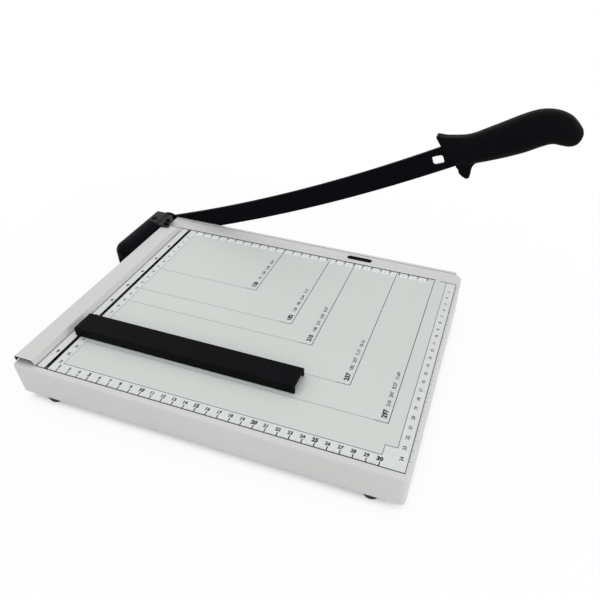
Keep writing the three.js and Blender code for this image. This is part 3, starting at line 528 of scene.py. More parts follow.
# %% Tree: copies at points
def make_copies_tree():
    tree, given = new_tree("copies_at_points", [("Copy", "Object", None), ("Turn", "Float", 3.0), ("Seed", "Int", 7)])
    shape = add_node(tree, "GeometryNodeObjectInfo", {"Object": given["Copy"]})
    way = add_node(tree, "GeometryNodeInputNamedAttribute", {"Name": "way"}, data_type="FLOAT_VECTOR")
    aim = add_node(tree, "FunctionNodeAlignRotationToVector", {"Vector": way.outputs["Attribute"]}, axis="Z")
    chance = {"Max": given["Turn"], "Seed": given["Seed"]}
    turn = add_node(tree, "FunctionNodeRandomValue", chance, data_type="FLOAT")
    spin = add_node(tree, "FunctionNodeAxisAngleToRotation", {"Angle": turn.outputs["Value"]})
    both = {"Rotation": aim.outputs[0], "Rotate By": spin.outputs[0]}
    turned = add_node(tree, "FunctionNodeRotateRotation", both, rotation_space="LOCAL")
    copy = {"Points": given["Geometry"], "Instance": shape.outputs["Geometry"], "Rotation": turned.outputs[0]}
    return end_tree(tree, given, add_node(tree, "GeometryNodeInstanceOnPoints", copy))


COPIES = make_copies_tree()


def copies(shape, places, slot, seed=7):
    """Copies of a shape drawn along +Z, at [(place, way), ...] on a bench."""
    points = bpy.data.meshes.new("points")
    points.from_pydata([place for place, way in places], [], [])
    ways = points.attributes.new("way", "FLOAT_VECTOR", "POINT")
    for row, (place, way) in zip(ways.data, places):
        row.vector = way
    pattern = link(bpy.data.objects.new("pattern", shape))
    mesh = grown(COPIES, points, copy=pattern, seed=seed, finish=SLOT_FINISH[slot])
    bpy.data.objects.remove(pattern)
    return smooth(mesh)


print(COPIES.name, "has", len(COPIES.nodes), "nodes")

# %% Tree: the marks of a ruler
def make_marks_tree():
    inputs = [("Count", "Int", 11), ("Middle Every", "Int", 5), ("Long Every", "Int", 10)]
    sizes = {"Spacing": 10.0, "Short": 2.0, "Middle": 3.0, "Long": 4.0, "Width": 0.3, "Thickness": 0.03}
    tree, given = new_tree("ruler_marks", inputs + [(label, "Float", size) for label, size in sizes.items()])
    row = {"Count": given["Count"], "Offset": combine(tree, X=given["Spacing"])}
    line = add_node(tree, "GeometryNodeMeshLine", row, mode="OFFSET")
    cube = add_node(tree, "GeometryNodeMeshCube")
    raised = {"Geometry": cube.outputs["Mesh"], "Translation": (0, 0.5, 0.5)}
    stroke = add_node(tree, "GeometryNodeTransform", raised)
    index = add_node(tree, "GeometryNodeInputIndex").outputs[0]
    length = given["Short"]
    for rank in ("Middle", "Long"):
        hit = maths(tree, "LESS_THAN", maths(tree, "MODULO", index, given[rank + " Every"]), 0.5)
        choice = {"Switch": hit, "False": length, "True": given[rank]}
        length = add_node(tree, "GeometryNodeSwitch", choice, input_type="FLOAT").outputs[0]
    size = combine(tree, X=given["Width"], Y=length, Z=given["Thickness"])
    marks = {"Points": line.outputs["Mesh"], "Instance": stroke.outputs[0], "Scale": size}
    return end_tree(tree, given, add_node(tree, "GeometryNodeInstanceOnPoints", marks))


MARKS = make_marks_tree()
print(MARKS.name, "has", len(MARKS.nodes), "nodes")

# %% [markdown]
# ## The pressed board
# The board is one steel sheet, pressed into a shallow box with folded walls and a lip turned in below. Its
# section is a short walk: from the top, over the bend, down the wall, under the lip and back inside, one
# sheet's thickness away. Each point of that walk becomes a ring round the plan, and `skin` joins them.
# A ring just beside every bend keeps the big flat faces truly flat when they are shaded. The corner under
# the pivot is the sharpest of the four.

# %% Rings of the board
SHEET, BEND, LIP = 1.2, 2.0, 7.5
CORNERS = (4, 9, 1.4, 4)


def plan_ring(inset, z):
    plan = rectangle(LEFT + inset, RIGHT - inset, USER + inset, HEAD - inset)
    return [(x, y, z) for x, y in fillet(plan, [max(r - inset, 1.0) for r in CORNERS], 8)]


def section_walk():
    """Pairs of inset and height, from the middle of the top round to the underside of the top."""
    outer, inner = [(4.0, TOP)], [(4.0, TOP - SHEET)]
    both = ((outer, 0, BEND), (inner, SHEET, BEND - SHEET))
    for walk, inset, radius in both:
        walk += [(BEND - radius * math.sin(t), TOP - BEND + radius * math.cos(t)) for t in quarter_turn(8)]
        walk += [(inset, TOP - 3.5), (inset, LIP + 3.5)]
        walk += [(BEND - radius * math.cos(t), LIP + BEND - radius * math.sin(t)) for t in quarter_turn(6)]
        walk += [(width, LIP + inset) for width in (3.2, 17.0, 17.8)]
    return outer + [(18.0, LIP + 0.2), (18.0, LIP + SHEET - 0.2)] + inner[::-1]


board = skin([plan_ring(inset, z) for inset, z in section_walk()])
print("board before its holes:", len(board.polygons), "faces")

# %% [markdown]
# ## Holes of the board
# The board has a slot for the guide, an oblong hole for the plug, and a round hole for every screw. All of
# them are cut at once. The walls of the narrow slot get the black paint as painted shade, so that the slot
# looks as dark as the shade inside it.

# %% Holes of the board
FOOT_PLACES = [(x, y) for x in (LEFT + 9.5, RIGHT - 9.5) for y in (USER + 27, HEAD - 27)]
BLADE_SCREWS = [-9.5 - 287 * share for share in (0, 0.33, 0.67, 1)]
BLOCK_SCREWS = [-0.3 - 35 * share for share in (0.47, 0.86)]
TAIL_SCREWS = [-35.6 - 59 * share for share in (0.25, 0.7)]
EAR_SCREWS = [(-31.0, HEAD - 6), (-24.0, HEAD - 4.1)]
BLADE_SCREW_Z, WALL_SCREW_Z = 31, 14.5
WALL_HOLE, EAR_HOLE, FOOT_HOLE = 2.3, 1.8, 2.05
THROUGH_TOP = (TOP - 4, TOP + 2)
SLOT_END, SLOT_Y, SLOT_HALF = -22, -10, 1.4
PLUG_PLACE = (-11.4, -212.5)

slot = rectangle(LEFT + 7.5, SLOT_END, SLOT_Y - SLOT_HALF, SLOT_Y + SLOT_HALF)
tools = [drawn_out(fillet(slot, SLOT_HALF - 0.01), *THROUGH_TOP)]
tools += [drawn_out(oblong(*PLUG_PLACE, 6.6, 28), *THROUGH_TOP)]
tools += [upright_rod(x, y, 4, 12, FOOT_HOLE) for x, y in FOOT_PLACES]
for y in BLADE_SCREWS:
    tools.append(rod((RIGHT - 4, y, BLADE_SCREW_Z), (RIGHT + 2, y, BLADE_SCREW_Z), WALL_HOLE, 24))
for x in BLOCK_SCREWS + TAIL_SCREWS:
    tools.append(rod((x, HEAD - 4, WALL_SCREW_Z), (x, HEAD + 2, WALL_SCREW_Z), WALL_HOLE, 24))
tools += [upright_rod(x, y, *THROUGH_TOP, EAR_HOLE) for x, y in EAR_SCREWS]
pressed = piece("pressed_board", smooth(combined(board, tools)), "base", "board_paint", ["base_shell"])


def between(low, high):
    """A test for faces whose middle lies between two corners, in millimetres on the base's bench."""
    low, high = BASE_BENCH @ Vector(low), BASE_BENCH @ Vector(high)
    return lambda face: all(a < c < b for a, c, b in zip(low, face.center, high))


# The walls of the slot get the black paint as painted shade.
refinish(pressed, BLACK_PAINT, between((LEFT + 7.4, -11.5, TOP - 2), (-21.9, -8.5, TOP - 0.05)))

# %% [markdown]
# ## Fence
# The fence is a folded rail whose front is sloped, so that paper is easily slid against it. Its creases have
# a real bend radius, inside and outside. Near the pivot the slope is cut back, and only a tab goes on under
# the ear of the bearing block. The rail is hollow, and the faces inside it get the near-black rubber finish
# as painted shade, so that its inside looks dark where one looks in at its end.

# %% Fence rail
FENCE_HEIGHT, FENCE_LIFT, FENCE_SHEET, FENCE_SLOPE = 5.5, 0.3, 1.0, 2.6
EAR_END, EAR_TIP, EAR_LAP, FACE_END = -35.0, -11.5, 0.5, -29.2
EAR_DEEP, EAR_SHALLOW = 11.2, 2.3


def folded_section():
    top, floor, t = TOP + FENCE_HEIGHT, TOP + FENCE_LIFT, FENCE_SHEET
    outer = [(HEAD, floor), (HEAD, top), (FENCE_SLOPE, top), (0, floor)]
    inner = [(t, floor), (FENCE_SLOPE + t / 2, top - t), (HEAD - t, top - t), (HEAD - t, floor)]
    return fillet(outer + inner, [0, 1.5, 1.3, 0, 0, 0.4, 0.6, 0], 5)


def ear_front(x):
    """Front edge of the bearing block's ear, at a place along X."""
    return HEAD - EAR_DEEP + (x - EAR_END) / (EAR_TIP - EAR_END) * (EAR_DEEP - EAR_SHALLOW)


rail = drawn_out(folded_section(), LEFT + 5.5, EAR_TIP - EAR_LAP, ALONG_X)
tab_side = [(x, ear_front(x) + EAR_LAP) for x in (FACE_END, EAR_TIP)]
cuts = [drawn_out([(FACE_END, -1), *tab_side, (EAR_TIP, -1)], TOP, TOP + 7)]
cuts += [upright_rod(x, y, TOP - 2, TOP + 8, EAR_HOLE) for x, y in EAR_SCREWS]
rail = softened(combined(rail, cuts), 0.12, 2, 50, 0.1)
fence = piece("folded_fence", rail, "base", "board_paint", ["fence_rail"])
# The faces inside the hollow rail get the rubber finish as painted shade.
painted_shade_in_rail = between((LEFT, 1.1, TOP), (0, HEAD - 0.9, TOP + 4.7))
refinish(fence, RUBBER, lambda face: painted_shade_in_rail(face) and face.normal.z < 0.05)

# %% [markdown]
# ## Lower blade and stiffeners
# The lower blade is a ground strip with countersunk holes, whose ends are rounded in plan. Two stiffeners
# cross the board below. They are hat sections, whose shape in the frame is already right, so only their
# edges are softened.

# %% Lower blade
BLADE_USER, BLADE_THICK, BLADE_DEEP = -317.0, 2.4, 20
section = [(-BLADE_THICK, TOP - BLADE_DEEP), (0, TOP - BLADE_DEEP), (0, TOP), (-2.0, TOP), (-BLADE_THICK, TOP - 0.4)]
blade = drawn_out(section, BLADE_USER - 1, HEAD, ALONG_Y)
sinks = []
for y in BLADE_SCREWS:
    sink = lathe([(0, -12), (2.3, -12), (2.3, -1.7), (4, 0), (4, 2), (0, 2)], 32)
    sink.transform(Matrix.Translation((0, y, BLADE_SCREW_Z)) @ Z_TO_X)
    sinks.append(sink)
plan = fillet(rectangle(-3, 0, BLADE_USER, HEAD - 0.9), [0, BLADE_THICK, 0.8, 0])
blade = combined(combined(blade, sinks), [drawn_out(plan, TOP - 25, TOP + 2)], "INTERSECT")
piece("ground_blade", softened(blade, 0.1, 2, 28, 0.1), "base", "blade_steel", ["lower_blade"])

# %% Stiffeners
for node in ("stiffener_1", "stiffener_2"):
    piece("hat_" + node, softened(copy_of(node), 0.45), "base", "board_paint", [node])

# %% [markdown]
# ## Edge insert
# An oblong black plug sits flush in the strip beside the cutting edge. Its top has a raised rim with a
# slightly sunk middle, so it is made of rings too, like a very small board.

# %% Insert
# Pairs of inset and height over the board's top.
PLUG_WALK = [(0, -4), (0, 0.05), (0.12, 0.24), (0.3, 0.3), (0.8, 0.3), (1.0, 0.2), (1.25, -0.25), (1.45, -0.3)]


def plug_ring(inset, z):
    return [(x, y, z) for x, y in oblong(*PLUG_PLACE, 6.0 - 2 * inset, 27.4 - 2 * inset)]


plug = skin([plug_ring(inset, TOP + z) for inset, z in PLUG_WALK])
piece("edge_insert", smooth(plug, 35), "base", "black_plastic", ["strip_insert"])

# %% [markdown]
# ## Bearing block and tail housing
# The block is a casting. Its body is an upright section with a full round top, and a thin ear reaches
# over the fence, where two screws hold it down. All edges of a casting are soft. The black housing behind
# it has the same section and a rounded end, so it is a row of rings that shrinks like a ball's slices.

# %% Section of both
CAST_INNER, CAST_FLOOR, CAST_RADIUS = HEAD + 0.3, 9.0, 11.0
CROWN_CENTRE = TOP + 12 - CAST_RADIUS


def upright_section(radius, top_centre, steps=28):
    points = [(PIVOT[1] - radius, CAST_FLOOR), (PIVOT[1] + radius, CAST_FLOOR)]
    for k in range(steps + 1):
        turn = math.pi * k / steps
        points.append((PIVOT[1] + radius * math.cos(turn), top_centre + radius * math.sin(turn)))
    return points


def wall_hole(x):
    return rod((x, CAST_INNER - 2, WALL_SCREW_Z), (x, CAST_INNER + 7.3, WALL_SCREW_Z), WALL_HOLE, 24)


def bore(x0, x1):
    return rod((x0, PIVOT[1], PIVOT[2]), (x1, PIVOT[1], PIVOT[2]), 8.0, 64)


print("the section is", CROWN_CENTRE + CAST_RADIUS - CAST_FLOOR, "mm high")

# %% Bearing block
EAR_FLOOR, EAR_THICK, FLAT_TOP, CAST_START = TOP + 5.8, 2.4, TOP + 10.3, -35.3
body = drawn_out(upright_section(CAST_RADIUS, CROWN_CENTRE), CAST_START, EAR_TIP, ALONG_X)
body = combined(body, [block(-37, 0, 0, 60, FLAT_TOP, TOP + 30)])
boss = drawn_out(upright_section(CAST_RADIUS - 0.02, PIVOT[2]), -13.5, -0.3, ALONG_X)
ear_plan = [(EAR_END, PIVOT[1]), (EAR_END, ear_front(EAR_END)), (EAR_TIP, ear_front(EAR_TIP)), (EAR_TIP, PIVOT[1])]
ear = drawn_out(fillet(ear_plan, [0, 2.2, 1.6, 0], 5), EAR_FLOOR, EAR_FLOOR + EAR_THICK)
# The notch below the ear's end is a slice of a circle, 7 mm wide and 1.5 mm high.
NOTCH_HALF, NOTCH_HIGH = 3.5, 1.5
notch_radius = (NOTCH_HALF**2 + NOTCH_HIGH**2) / (2 * NOTCH_HIGH)
notch_z = EAR_FLOOR + NOTCH_HIGH - notch_radius
notch = rod((EAR_END - 1, HEAD - 8, notch_z), (EAR_END + 2, HEAD - 8, notch_z), notch_radius)
body = combined(body, [boss, combined(ear, [notch])], "UNION")
set_x, set_z = CAST_START + 8, FLAT_TOP - 3
cuts = [bore(-37.3, 1.7)] + [wall_hole(x) for x in BLOCK_SCREWS]
cuts += [upright_rod(x, y, EAR_FLOOR - 1, EAR_FLOOR + 4, EAR_HOLE) for x, y in EAR_SCREWS]
cuts += [upright_rod(set_x, PIVOT[1], set_z - 0.3, TOP + 15, 3.5, 48)]
cuts += [upright_rod(set_x, PIVOT[1], set_z - 4.3, set_z, 2.3)]
body = softened(combined(body, cuts), 0.4, 3, 30, 0.3)
piece("bearing_casting", body, "base", "cast_steel", ["bearing_block"])

# %% Tail housing
TAIL_START, TAIL_END = -35.6, -83.6
rings = [(x, CAST_RADIUS) for x in (TAIL_START, TAIL_START - 1, -60, TAIL_END)]
for k in range(1, 15):
    turn = math.radians(88) * k / 14
    rings.append((TAIL_END - CAST_RADIUS * math.sin(turn), CAST_RADIUS * math.cos(turn)))
tail = skin([[(x, y, z) for y, z in upright_section(radius, CROWN_CENTRE)] for x, radius in rings])
tail = combined(tail, [bore(-96.6, -33.6)] + [wall_hole(x) for x in TAIL_SCREWS])
piece("pivot_housing", softened(tail, 0.5, 3, 40, 0.3), "base", "black_paint", ["tail_housing"])

# %% [markdown]
# ## The blade arm
# The arm is a flat steel bar that follows a long gentle bow, with a ground bevel along its lower edge. Its
# shape follows a rule, so a tree grows it: a line is bent to the arc of the bow, and the section is drawn
# along it. The round eye for the pivot, the tang inside the handle, the window and the holes are then
# added and cut in plain mesh code.

# %% Tree: a section along a bowed line
REACH, BOW, LOWEST, SAG, ARM_WIDTH, ARM_THICK = 355.0, 1900.0, 95.0, 3.6, 21.6, 3.0


def centre_line(s):
    return (s - LOWEST) ** 2 / (2 * BOW) - SAG


def make_bow_tree():
    sizes = {"Reach": REACH, "Bow": BOW, "Lowest": LOWEST, "Sag": SAG}
    inputs = [("Section", "Object", None), ("Steps", "Int", 90)]
    tree, given = new_tree("bowed_bar", inputs + [(label, "Float", size) for label, size in sizes.items()])
    line = add_node(tree, "GeometryNodeCurvePrimitiveLine", {"End": combine(tree, X=given["Reach"])})
    fine = add_node(tree, "GeometryNodeResampleCurve", {"Curve": line.outputs[0], "Count": given["Steps"]})
    place = add_node(tree, "GeometryNodeInputPosition").outputs[0]
    along = add_node(tree, "ShaderNodeSeparateXYZ", {0: place}).outputs["X"]
    square = maths(tree, "POWER", maths(tree, "SUBTRACT", along, given["Lowest"]), 2.0)
    arc = maths(tree, "DIVIDE", square, maths(tree, "MULTIPLY", given["Bow"], 2.0))
    spot = combine(tree, X=along, Z=maths(tree, "SUBTRACT", arc, given["Sag"]))
    bent = add_node(tree, "GeometryNodeSetPosition", {"Geometry": fine.outputs[0], "Position": spot})
    level = add_node(tree, "GeometryNodeSetCurveNormal", {0: bent.outputs[0]}, mode="Z_UP")
    section = add_node(tree, "GeometryNodeObjectInfo", {"Object": given["Section"]})
    sweep = {"Curve": level.outputs[0], "Profile Curve": section.outputs["Geometry"], "Fill Caps": True}
    return end_tree(tree, given, add_node(tree, "GeometryNodeCurveToMesh", sweep))


def closed_curve(points):
    curve = bpy.data.curves.new("section", "CURVE")
    spline = curve.splines.new("POLY")
    spline.points.add(len(points) - 1)
    for slot, (x, y) in zip(spline.points, points):
        slot.co = (x, y, 0, 1)
    spline.use_cyclic_u = True
    return link(bpy.data.objects.new("section", curve))


print("the bow rises", round(centre_line(REACH) - centre_line(LOWEST), 1), "mm at the handle")

# %% Grow the bar
# The sweep hangs a section upside down, so the ground edge, which is the lower one, is drawn on top here.
HALF, BEVEL = ARM_WIDTH / 2, 4.5
bar_section = closed_curve([(0, HALF), (0, -HALF), (3, -HALF), (3, HALF - BEVEL), (0.5, HALF)])
bar = grown(make_bow_tree(), section=bar_section, finish=BLACK_PAINT)
bpy.data.objects.remove(bar_section)
bar = rebuilt(bar, Matrix(((0, -1, 0, 0), (-1, 0, 0, 0), (0, 0, 1, 0), (0, 0, 0, 1))))
print("bar:", len(bar.polygons), "faces")

# %% The grip's two outlines, as a maker would plot them
GRIP_START, GRIP_LENGTH, GRIP_BASE, GRIP_HEIGHT, GRIP_THICK = REACH - 4, 113.4, 0.9, 36.4, 22.0
# Share of the length, bottom and top as shares of the height, and thickness as a share of the greatest.
GRIP_TABLE = [
    (0.0, 0.09, 0.79, 0.72),
    (0.1, 0.05, 0.79, 0.82),
    (0.21, 0.04, 0.78, 0.9),
    (0.32, 0.04, 0.83, 0.96),
    (0.44, 0.05, 0.89, 1.0),
    (0.58, 0.08, 0.965, 1.0),
    (0.7, 0.14, 1.0, 0.98),
    (0.78, 0.15, 0.97, 0.96),
    (0.845, 0.06, 0.9, 0.93),
    (0.895, 0.0, 0.81, 0.86),
    (0.945, 0.01, 0.67, 0.72),
    (0.98, 0.1, 0.48, 0.5),
    (1.0, 0.21, 0.33, 0.2),
]


def between_rows(table, t):
    """The numbers of a table at t, on a smooth curve through its rows."""
    i = max(k for k in range(len(table) - 1) if table[k][0] <= t)
    rows = [table[max(0, min(len(table) - 1, i + k))] for k in (-1, 0, 1, 2)]
    span = rows[2][0] - rows[1][0]
    x = (t - rows[1][0]) / span
    values = []
    for a, b, c, d in list(zip(*rows))[1:]:
        slope_b = (c - a) / (rows[2][0] - rows[0][0]) * span
        slope_c = (d - b) / (rows[3][0] - rows[1][0]) * span
        value = (2 * x**3 - 3 * x**2 + 1) * b + (x**3 - 2 * x**2 + x) * slope_b
        values.append(value + (3 * x**2 - 2 * x**3) * c + (x**3 - x**2) * slope_c)
    return values


def grip_middle(share):
    low, high, thick = between_rows(GRIP_TABLE, share)
    return GRIP_START + share * GRIP_LENGTH, GRIP_BASE + (low + high) / 2 * GRIP_HEIGHT


print("grip ends at", GRIP_START + GRIP_LENGTH, "mm from the pivot")

# %% [markdown]
# ## Tang, eye, window and holes
# The tang is a straight tongue that fills the handle's pocket, and the eye is a full disc round the pivot.
# Both are joined to the bar, and then the holes are cut. Only the bevel faces down and outwards at its
# angle, so a face's own direction is enough to tell which faces are ground bright.

# %% Tang, eye, window and holes
TANG_HALF, EYE_RADIUS, BOLT_HOLE, HANDLE_HOLE = 6.5, 14.0, 4.3, 2.05
WINDOW_BACK, WINDOW_LONG, WINDOW_HIGH = 16.1, 5.4, 4.1


def tang_outline(grow):
    start, end = Vector((REACH - 15, centre_line(REACH - 15))), Vector(grip_middle(0.758))
    along = (end - start).normalized()
    side = Vector((-along.y, along.x)) * (TANG_HALF + grow)
    tip = end + along * grow
    return [tuple(p) for p in (start - side, tip - side, tip + side, start + side)]


def slab(outline, x0, x1):
    """A side view of the arm with a thickness from x0 to x1."""
    return rebuilt(drawn_out(outline, x0, x1), SIDE_VIEW)


def cross_hole(s, n, radius, x0=-5.0, x1=8.0, steps=24):
    return rod((x0, -s, n), (x1, -s, n), radius, steps)


HANDLE_SCREWS = [grip_middle(share) for share in (0.19, 0.6)]
window_s, window_n = REACH - WINDOW_BACK, centre_line(REACH - WINDOW_BACK)
window = rectangle(window_s - WINDOW_LONG, window_s + WINDOW_LONG, window_n - WINDOW_HIGH, window_n + WINDOW_HIGH)
eye = rod((0, 0, 0), (ARM_THICK, 0, 0), EYE_RADIUS, 96)
arm = combined(bar, [eye, slab(tang_outline(0), 0.001, ARM_THICK - 0.001)], "UNION")
holes = [slab(fillet(window, 2.2, 8), -5, 8), cross_hole(0, 0, BOLT_HOLE, steps=64)]
holes += [cross_hole(s, n, HANDLE_HOLE) for s, n in HANDLE_SCREWS]
arm = softened(combined(arm, holes), 0.09, 2, 25, 0.2, clamp=False)
cutting_arm = piece("cutting_arm", arm, "arm", "black_paint", ["blade_arm"])
ground_way = BENCH["arm"].to_3x3().normalized() @ Vector((BEVEL, 0, -2.5)).normalized()
refinish(cutting_arm, GROUND_STEEL, lambda face: face.normal.dot(ground_way) > 0.97)

# %% [markdown]
# ## The handle
# The handle is moulded in two halves that close round the tang. Its form is a lofted grip joined to a flat
# guard with two horns. A moulded part has no hard line where two such forms meet, so the joined solid is
# remeshed in small voxels and smoothed, and then split at the seam.

# %% Grip and guard
HANDLE_MIDDLE = ARM_THICK / 2
SQUARENESS = 0.75
GUARD_START, GUARD_LENGTH, GUARD_LOW, GUARD_HIGH, GUARD_HALF = REACH - 12.5, 30.0, -10.6, 35.6, 5.25
GUARD_TABLE = [(0, 0.99), (0.08, 0.79), (0.33, 0.27), (0.51, 0.07), (0.62, 0), (0.72, 0.01), (0.82, 0.17)]
GUARD_TABLE += [(0.91, 0.25), (1, 0.29), (1, 0.84), (0.63, 0.88), (0.3, 0.93), (0.05, 1)]


def grip_ring(share, steps=56):
    low, high, thick = between_rows(GRIP_TABLE, share)
    s = GRIP_START + share * GRIP_LENGTH
    bottom, top, wide = GRIP_BASE + low * GRIP_HEIGHT, GRIP_BASE + high * GRIP_HEIGHT, thick * GRIP_THICK / 2
    ring = []
    for k in range(steps):
        turn = 2 * math.pi * k / steps
        across, up = (math.copysign(abs(c) ** SQUARENESS, c) for c in (math.cos(turn), math.sin(turn)))
        ring.append((HANDLE_MIDDLE - wide * across, -s, (top + bottom) / 2 + (top - bottom) / 2 * up))
    return ring


shares = [0.7 * k / 24 for k in range(24)] + [0.7 + 0.3 * math.sin(math.pi / 2 * k / 24) for k in range(25)]
grip = skin([grip_ring(min(share, 0.9999)) for share in shares])
guard = [(GUARD_START + a * GUARD_LENGTH, GUARD_LOW + b * (GUARD_HIGH - GUARD_LOW)) for a, b in GUARD_TABLE]
guard = softened(slab(guard, HANDLE_MIDDLE - GUARD_HALF, HANDLE_MIDDLE + GUARD_HALF), 0.9, 3, 25)
handle = combined(grip, [guard], "UNION")
print("grip and guard:", len(handle.polygons), "faces")

# %% Pockets, wells and the step that passes the board
GAP = 0.3
SEAT = HANDLE_MIDDLE + GRIP_THICK / 4
mouth_low, mouth_high = centre_line(GUARD_START) - HALF - GAP, centre_line(REACH) + HALF + GAP
mouth = rectangle(GUARD_START - 2, REACH + GAP, mouth_low, mouth_high)
pockets = [slab(outline, -GAP, ARM_THICK + GAP) for outline in (tang_outline(GAP), mouth)]
pockets.append(block(-30, HANDLE_MIDDLE, -(PIVOT[1] - USER + GAP), 0, -60, 12.6))
for s, n in HANDLE_SCREWS:
    pockets.append(cross_hole(s, n, HANDLE_HOLE, HANDLE_MIDDLE - 7.3, SEAT))
    pockets.append(cross_hole(s, n, 3.8, SEAT - GAP, 30, 32))
work = link(bpy.data.objects.new("work", combined(handle, pockets)))
voxels = work.modifiers.new("voxels", "REMESH")
voxels.mode, voxels.voxel_size = "VOXEL", 0.55
rounded = work.modifiers.new("rounded", "SMOOTH")
rounded.factor, rounded.iterations = 0.5, 9
handle = evaluated_mesh(work)
print("handle:", len(handle.polygons), "faces")

# %% Split at the seam
SEAM = 0.15
for node, x0, x1 in (("handle_inner", -30, HANDLE_MIDDLE - SEAM), ("handle_outer", HANDLE_MIDDLE + SEAM, 40)):
    shell = combined(handle.copy(), [block(x0, x1, -480, 0, -60, 80)], "INTERSECT")
    piece("moulded_" + node, smooth(shell, 40), "arm", "black_plastic", [node])

# %% [markdown]
# ## Paper guide
# The guide is a black channel. It is closed at the fence, where its two pins sit, and open below and at its
# other end.

# %% Guide bar
GUIDE_HALF, GUIDE_PINS = 11.5, (-6, 6)
guide_floor, guide_top = TOP + FENCE_LIFT, TOP + FENCE_LIFT + 8.6
outline = fillet(rectangle(-GUIDE_HALF, GUIDE_HALF, guide_floor, guide_top), [0, 0, 1.4, 1.4], 8)
channel = drawn_out(outline, -218, -7, ALONG_Y)
hollow = block(-9.3, 9.3, -220, -19, TOP - 2, guide_top - 2.4)
pin_holes = [upright_rod(x, SLOT_Y, TOP - 2, TOP + 5.6, 1.4) for x in GUIDE_PINS]
channel = softened(combined(channel, [hollow] + pin_holes), 0.25, 3, 40)
piece("guide_channel", channel, "guide", "black_plastic", ["guide_bar"])

# %% [markdown]
# ## Fasteners
# Every screw is turned on the lathe helper, with a rounded head, a cross recess cut by two crossed wedges,
# and fine rings that read as a thread. One screw of each size is made, and the tree sets it at its places,
# each turned by its own amount, as no two screws end up alike.

# %% Screw shapes
def thread_rings(radius, length, pitch=0.7):
    """Profile points of a threaded shank, from its tip up to the head."""
    points = [(0, -length), (radius * 0.6, -length), (radius, -length + 0.8)]
    z = -length + 0.8
    while z < -1.6:
        points += [(radius, z), (radius - 0.22, z + pitch / 2)]
        z += pitch
    return points + [(radius, -1.2)]


def cross_recess(width, depth, top):
    wedge = [(-width, top + 0.5), (width, top + 0.5), (width * 0.45, top - depth), (-width * 0.45, top - depth)]
    first = rebuilt(drawn_out(wedge, -width * 0.16, width * 0.16), ALONG_Y)
    second = first.copy()
    second.transform(Matrix.Rotation(math.pi / 2, 4, "Z"))
    return [first, second]


def pan_screw(shank, head, depth, length):
    r, h = shank / 2, head / 2
    profile = thread_rings(r, length) + [(r, 0), (h - 0.15, 0), (h, 0.15), (h, depth * 0.42)]
    for turn in quarter_turn(6)[1:]:
        profile.append((h * (0.55 + 0.45 * math.cos(turn)), depth * (0.42 + 0.58 * math.sin(turn))))
    profile.append((0, depth))
    return combined(lathe(profile, 32), cross_recess(h * 0.62, depth * 0.6, depth))


def flush_screw(shank, head, depth, length):
    r, h = shank / 2, head / 2
    profile = thread_rings(r, length) + [(r, -depth), (h - 0.1, -0.1), (h - 0.15, 0), (0, 0)]
    return combined(lathe(profile, 40), cross_recess(h * 0.6, depth * 0.9, 0))


def numbered(stem, count):
    return [f"{stem}_{k + 1}" for k in range(count)] if count > 1 else [stem]


print("a pan screw has", len(pan_screw(4, 8, 2.6, 8.8).polygons), "faces")

# %% Set the screws
def facing(way, places):
    return [(place, way) for place in places]


DOWN, UP, OUT, TO_USER = (0, 0, -1), (0, 0, 1), (1, 0, 0), (0, -1, 0)
foot_screws = facing(DOWN, [(x, y, 3.1) for x, y in FOOT_PLACES])
wall_screws = facing(TO_USER, [(x, HEAD - 1.5, WALL_SCREW_Z) for x in BLOCK_SCREWS + TAIL_SCREWS])
blade_screws = facing(OUT, [(-0.15, y, BLADE_SCREW_Z) for y in BLADE_SCREWS])
ear_screws = facing(UP, [(x, y, EAR_FLOOR + 2.7) for x, y in EAR_SCREWS])
handle_screws = facing(OUT, [(SEAT, -s, n) for s, n in HANDLE_SCREWS])
set_screws = facing(UP, [(set_x, PIVOT[1], set_z)])
handle_screw = pan_screw(3.5, 7, 2.4, SEAT - HANDLE_MIDDLE + 7)
for name, shape, places, body, slot, stem, seed in (
    ("foot_fasteners", pan_screw(3.5, 7.5, 2.2, 10.6), foot_screws, "base", "zinc", "foot_screw", 7),
    ("wall_fasteners", pan_screw(4, 8, 2.6, 8.8), wall_screws, "base", "zinc", "bracket_screw", 3),
    ("blade_fasteners", flush_screw(4, 7.4, 1.7, 12), blade_screws, "base", "zinc", "blade_screw", 5),
    ("ear_fasteners", pan_screw(3, 6, 2, 13.7), ear_screws, "base", "black_paint", "ear_screw", 11),
    ("adjusting_screw", pan_screw(4, 6.4, 3, 4), set_screws, "base", "black_paint", "set_screw", 2),
    ("handle_fasteners", handle_screw, handle_screws, "arm", "black_paint", "handle_screw", 4),
):
    piece(name, copies(shape, places, slot, seed), body, slot, numbered(stem, len(places)))

# %% [markdown]
# ## Nuts, feet and the guide's pins
# A nut is a hexagon kept in common with a turned barrel, which takes its corners off as a maker does. The
# feet are moulded rubber with a flared skirt, and the guide's pins are rivets with flat heads.

# %% Nuts, feet and the guide's pins
def hexagon(width, depth, bore_radius=0.0):
    """A nut or a bolt head along +Z whose corners are turned off at both ends."""
    radius = width / 2 / math.cos(math.pi / 6)
    flats = [(radius * math.cos(math.pi / 3 * k), radius * math.sin(math.pi / 3 * k)) for k in range(6)]
    c, wide = (radius - width / 2) * 0.9, radius + 0.05
    barrel = [(0, 0), (radius - c, 0), (wide, c * 0.6), (wide, depth - c * 0.6), (radius - c, depth), (0, depth)]
    nut = combined(drawn_out(flats, 0, depth), [lathe(barrel, 64)], "INTERSECT")
    if bore_radius:
        nut = combined(nut, [upright_rod(0, 0, -1, depth + 1, bore_radius, 32)])
    return nut


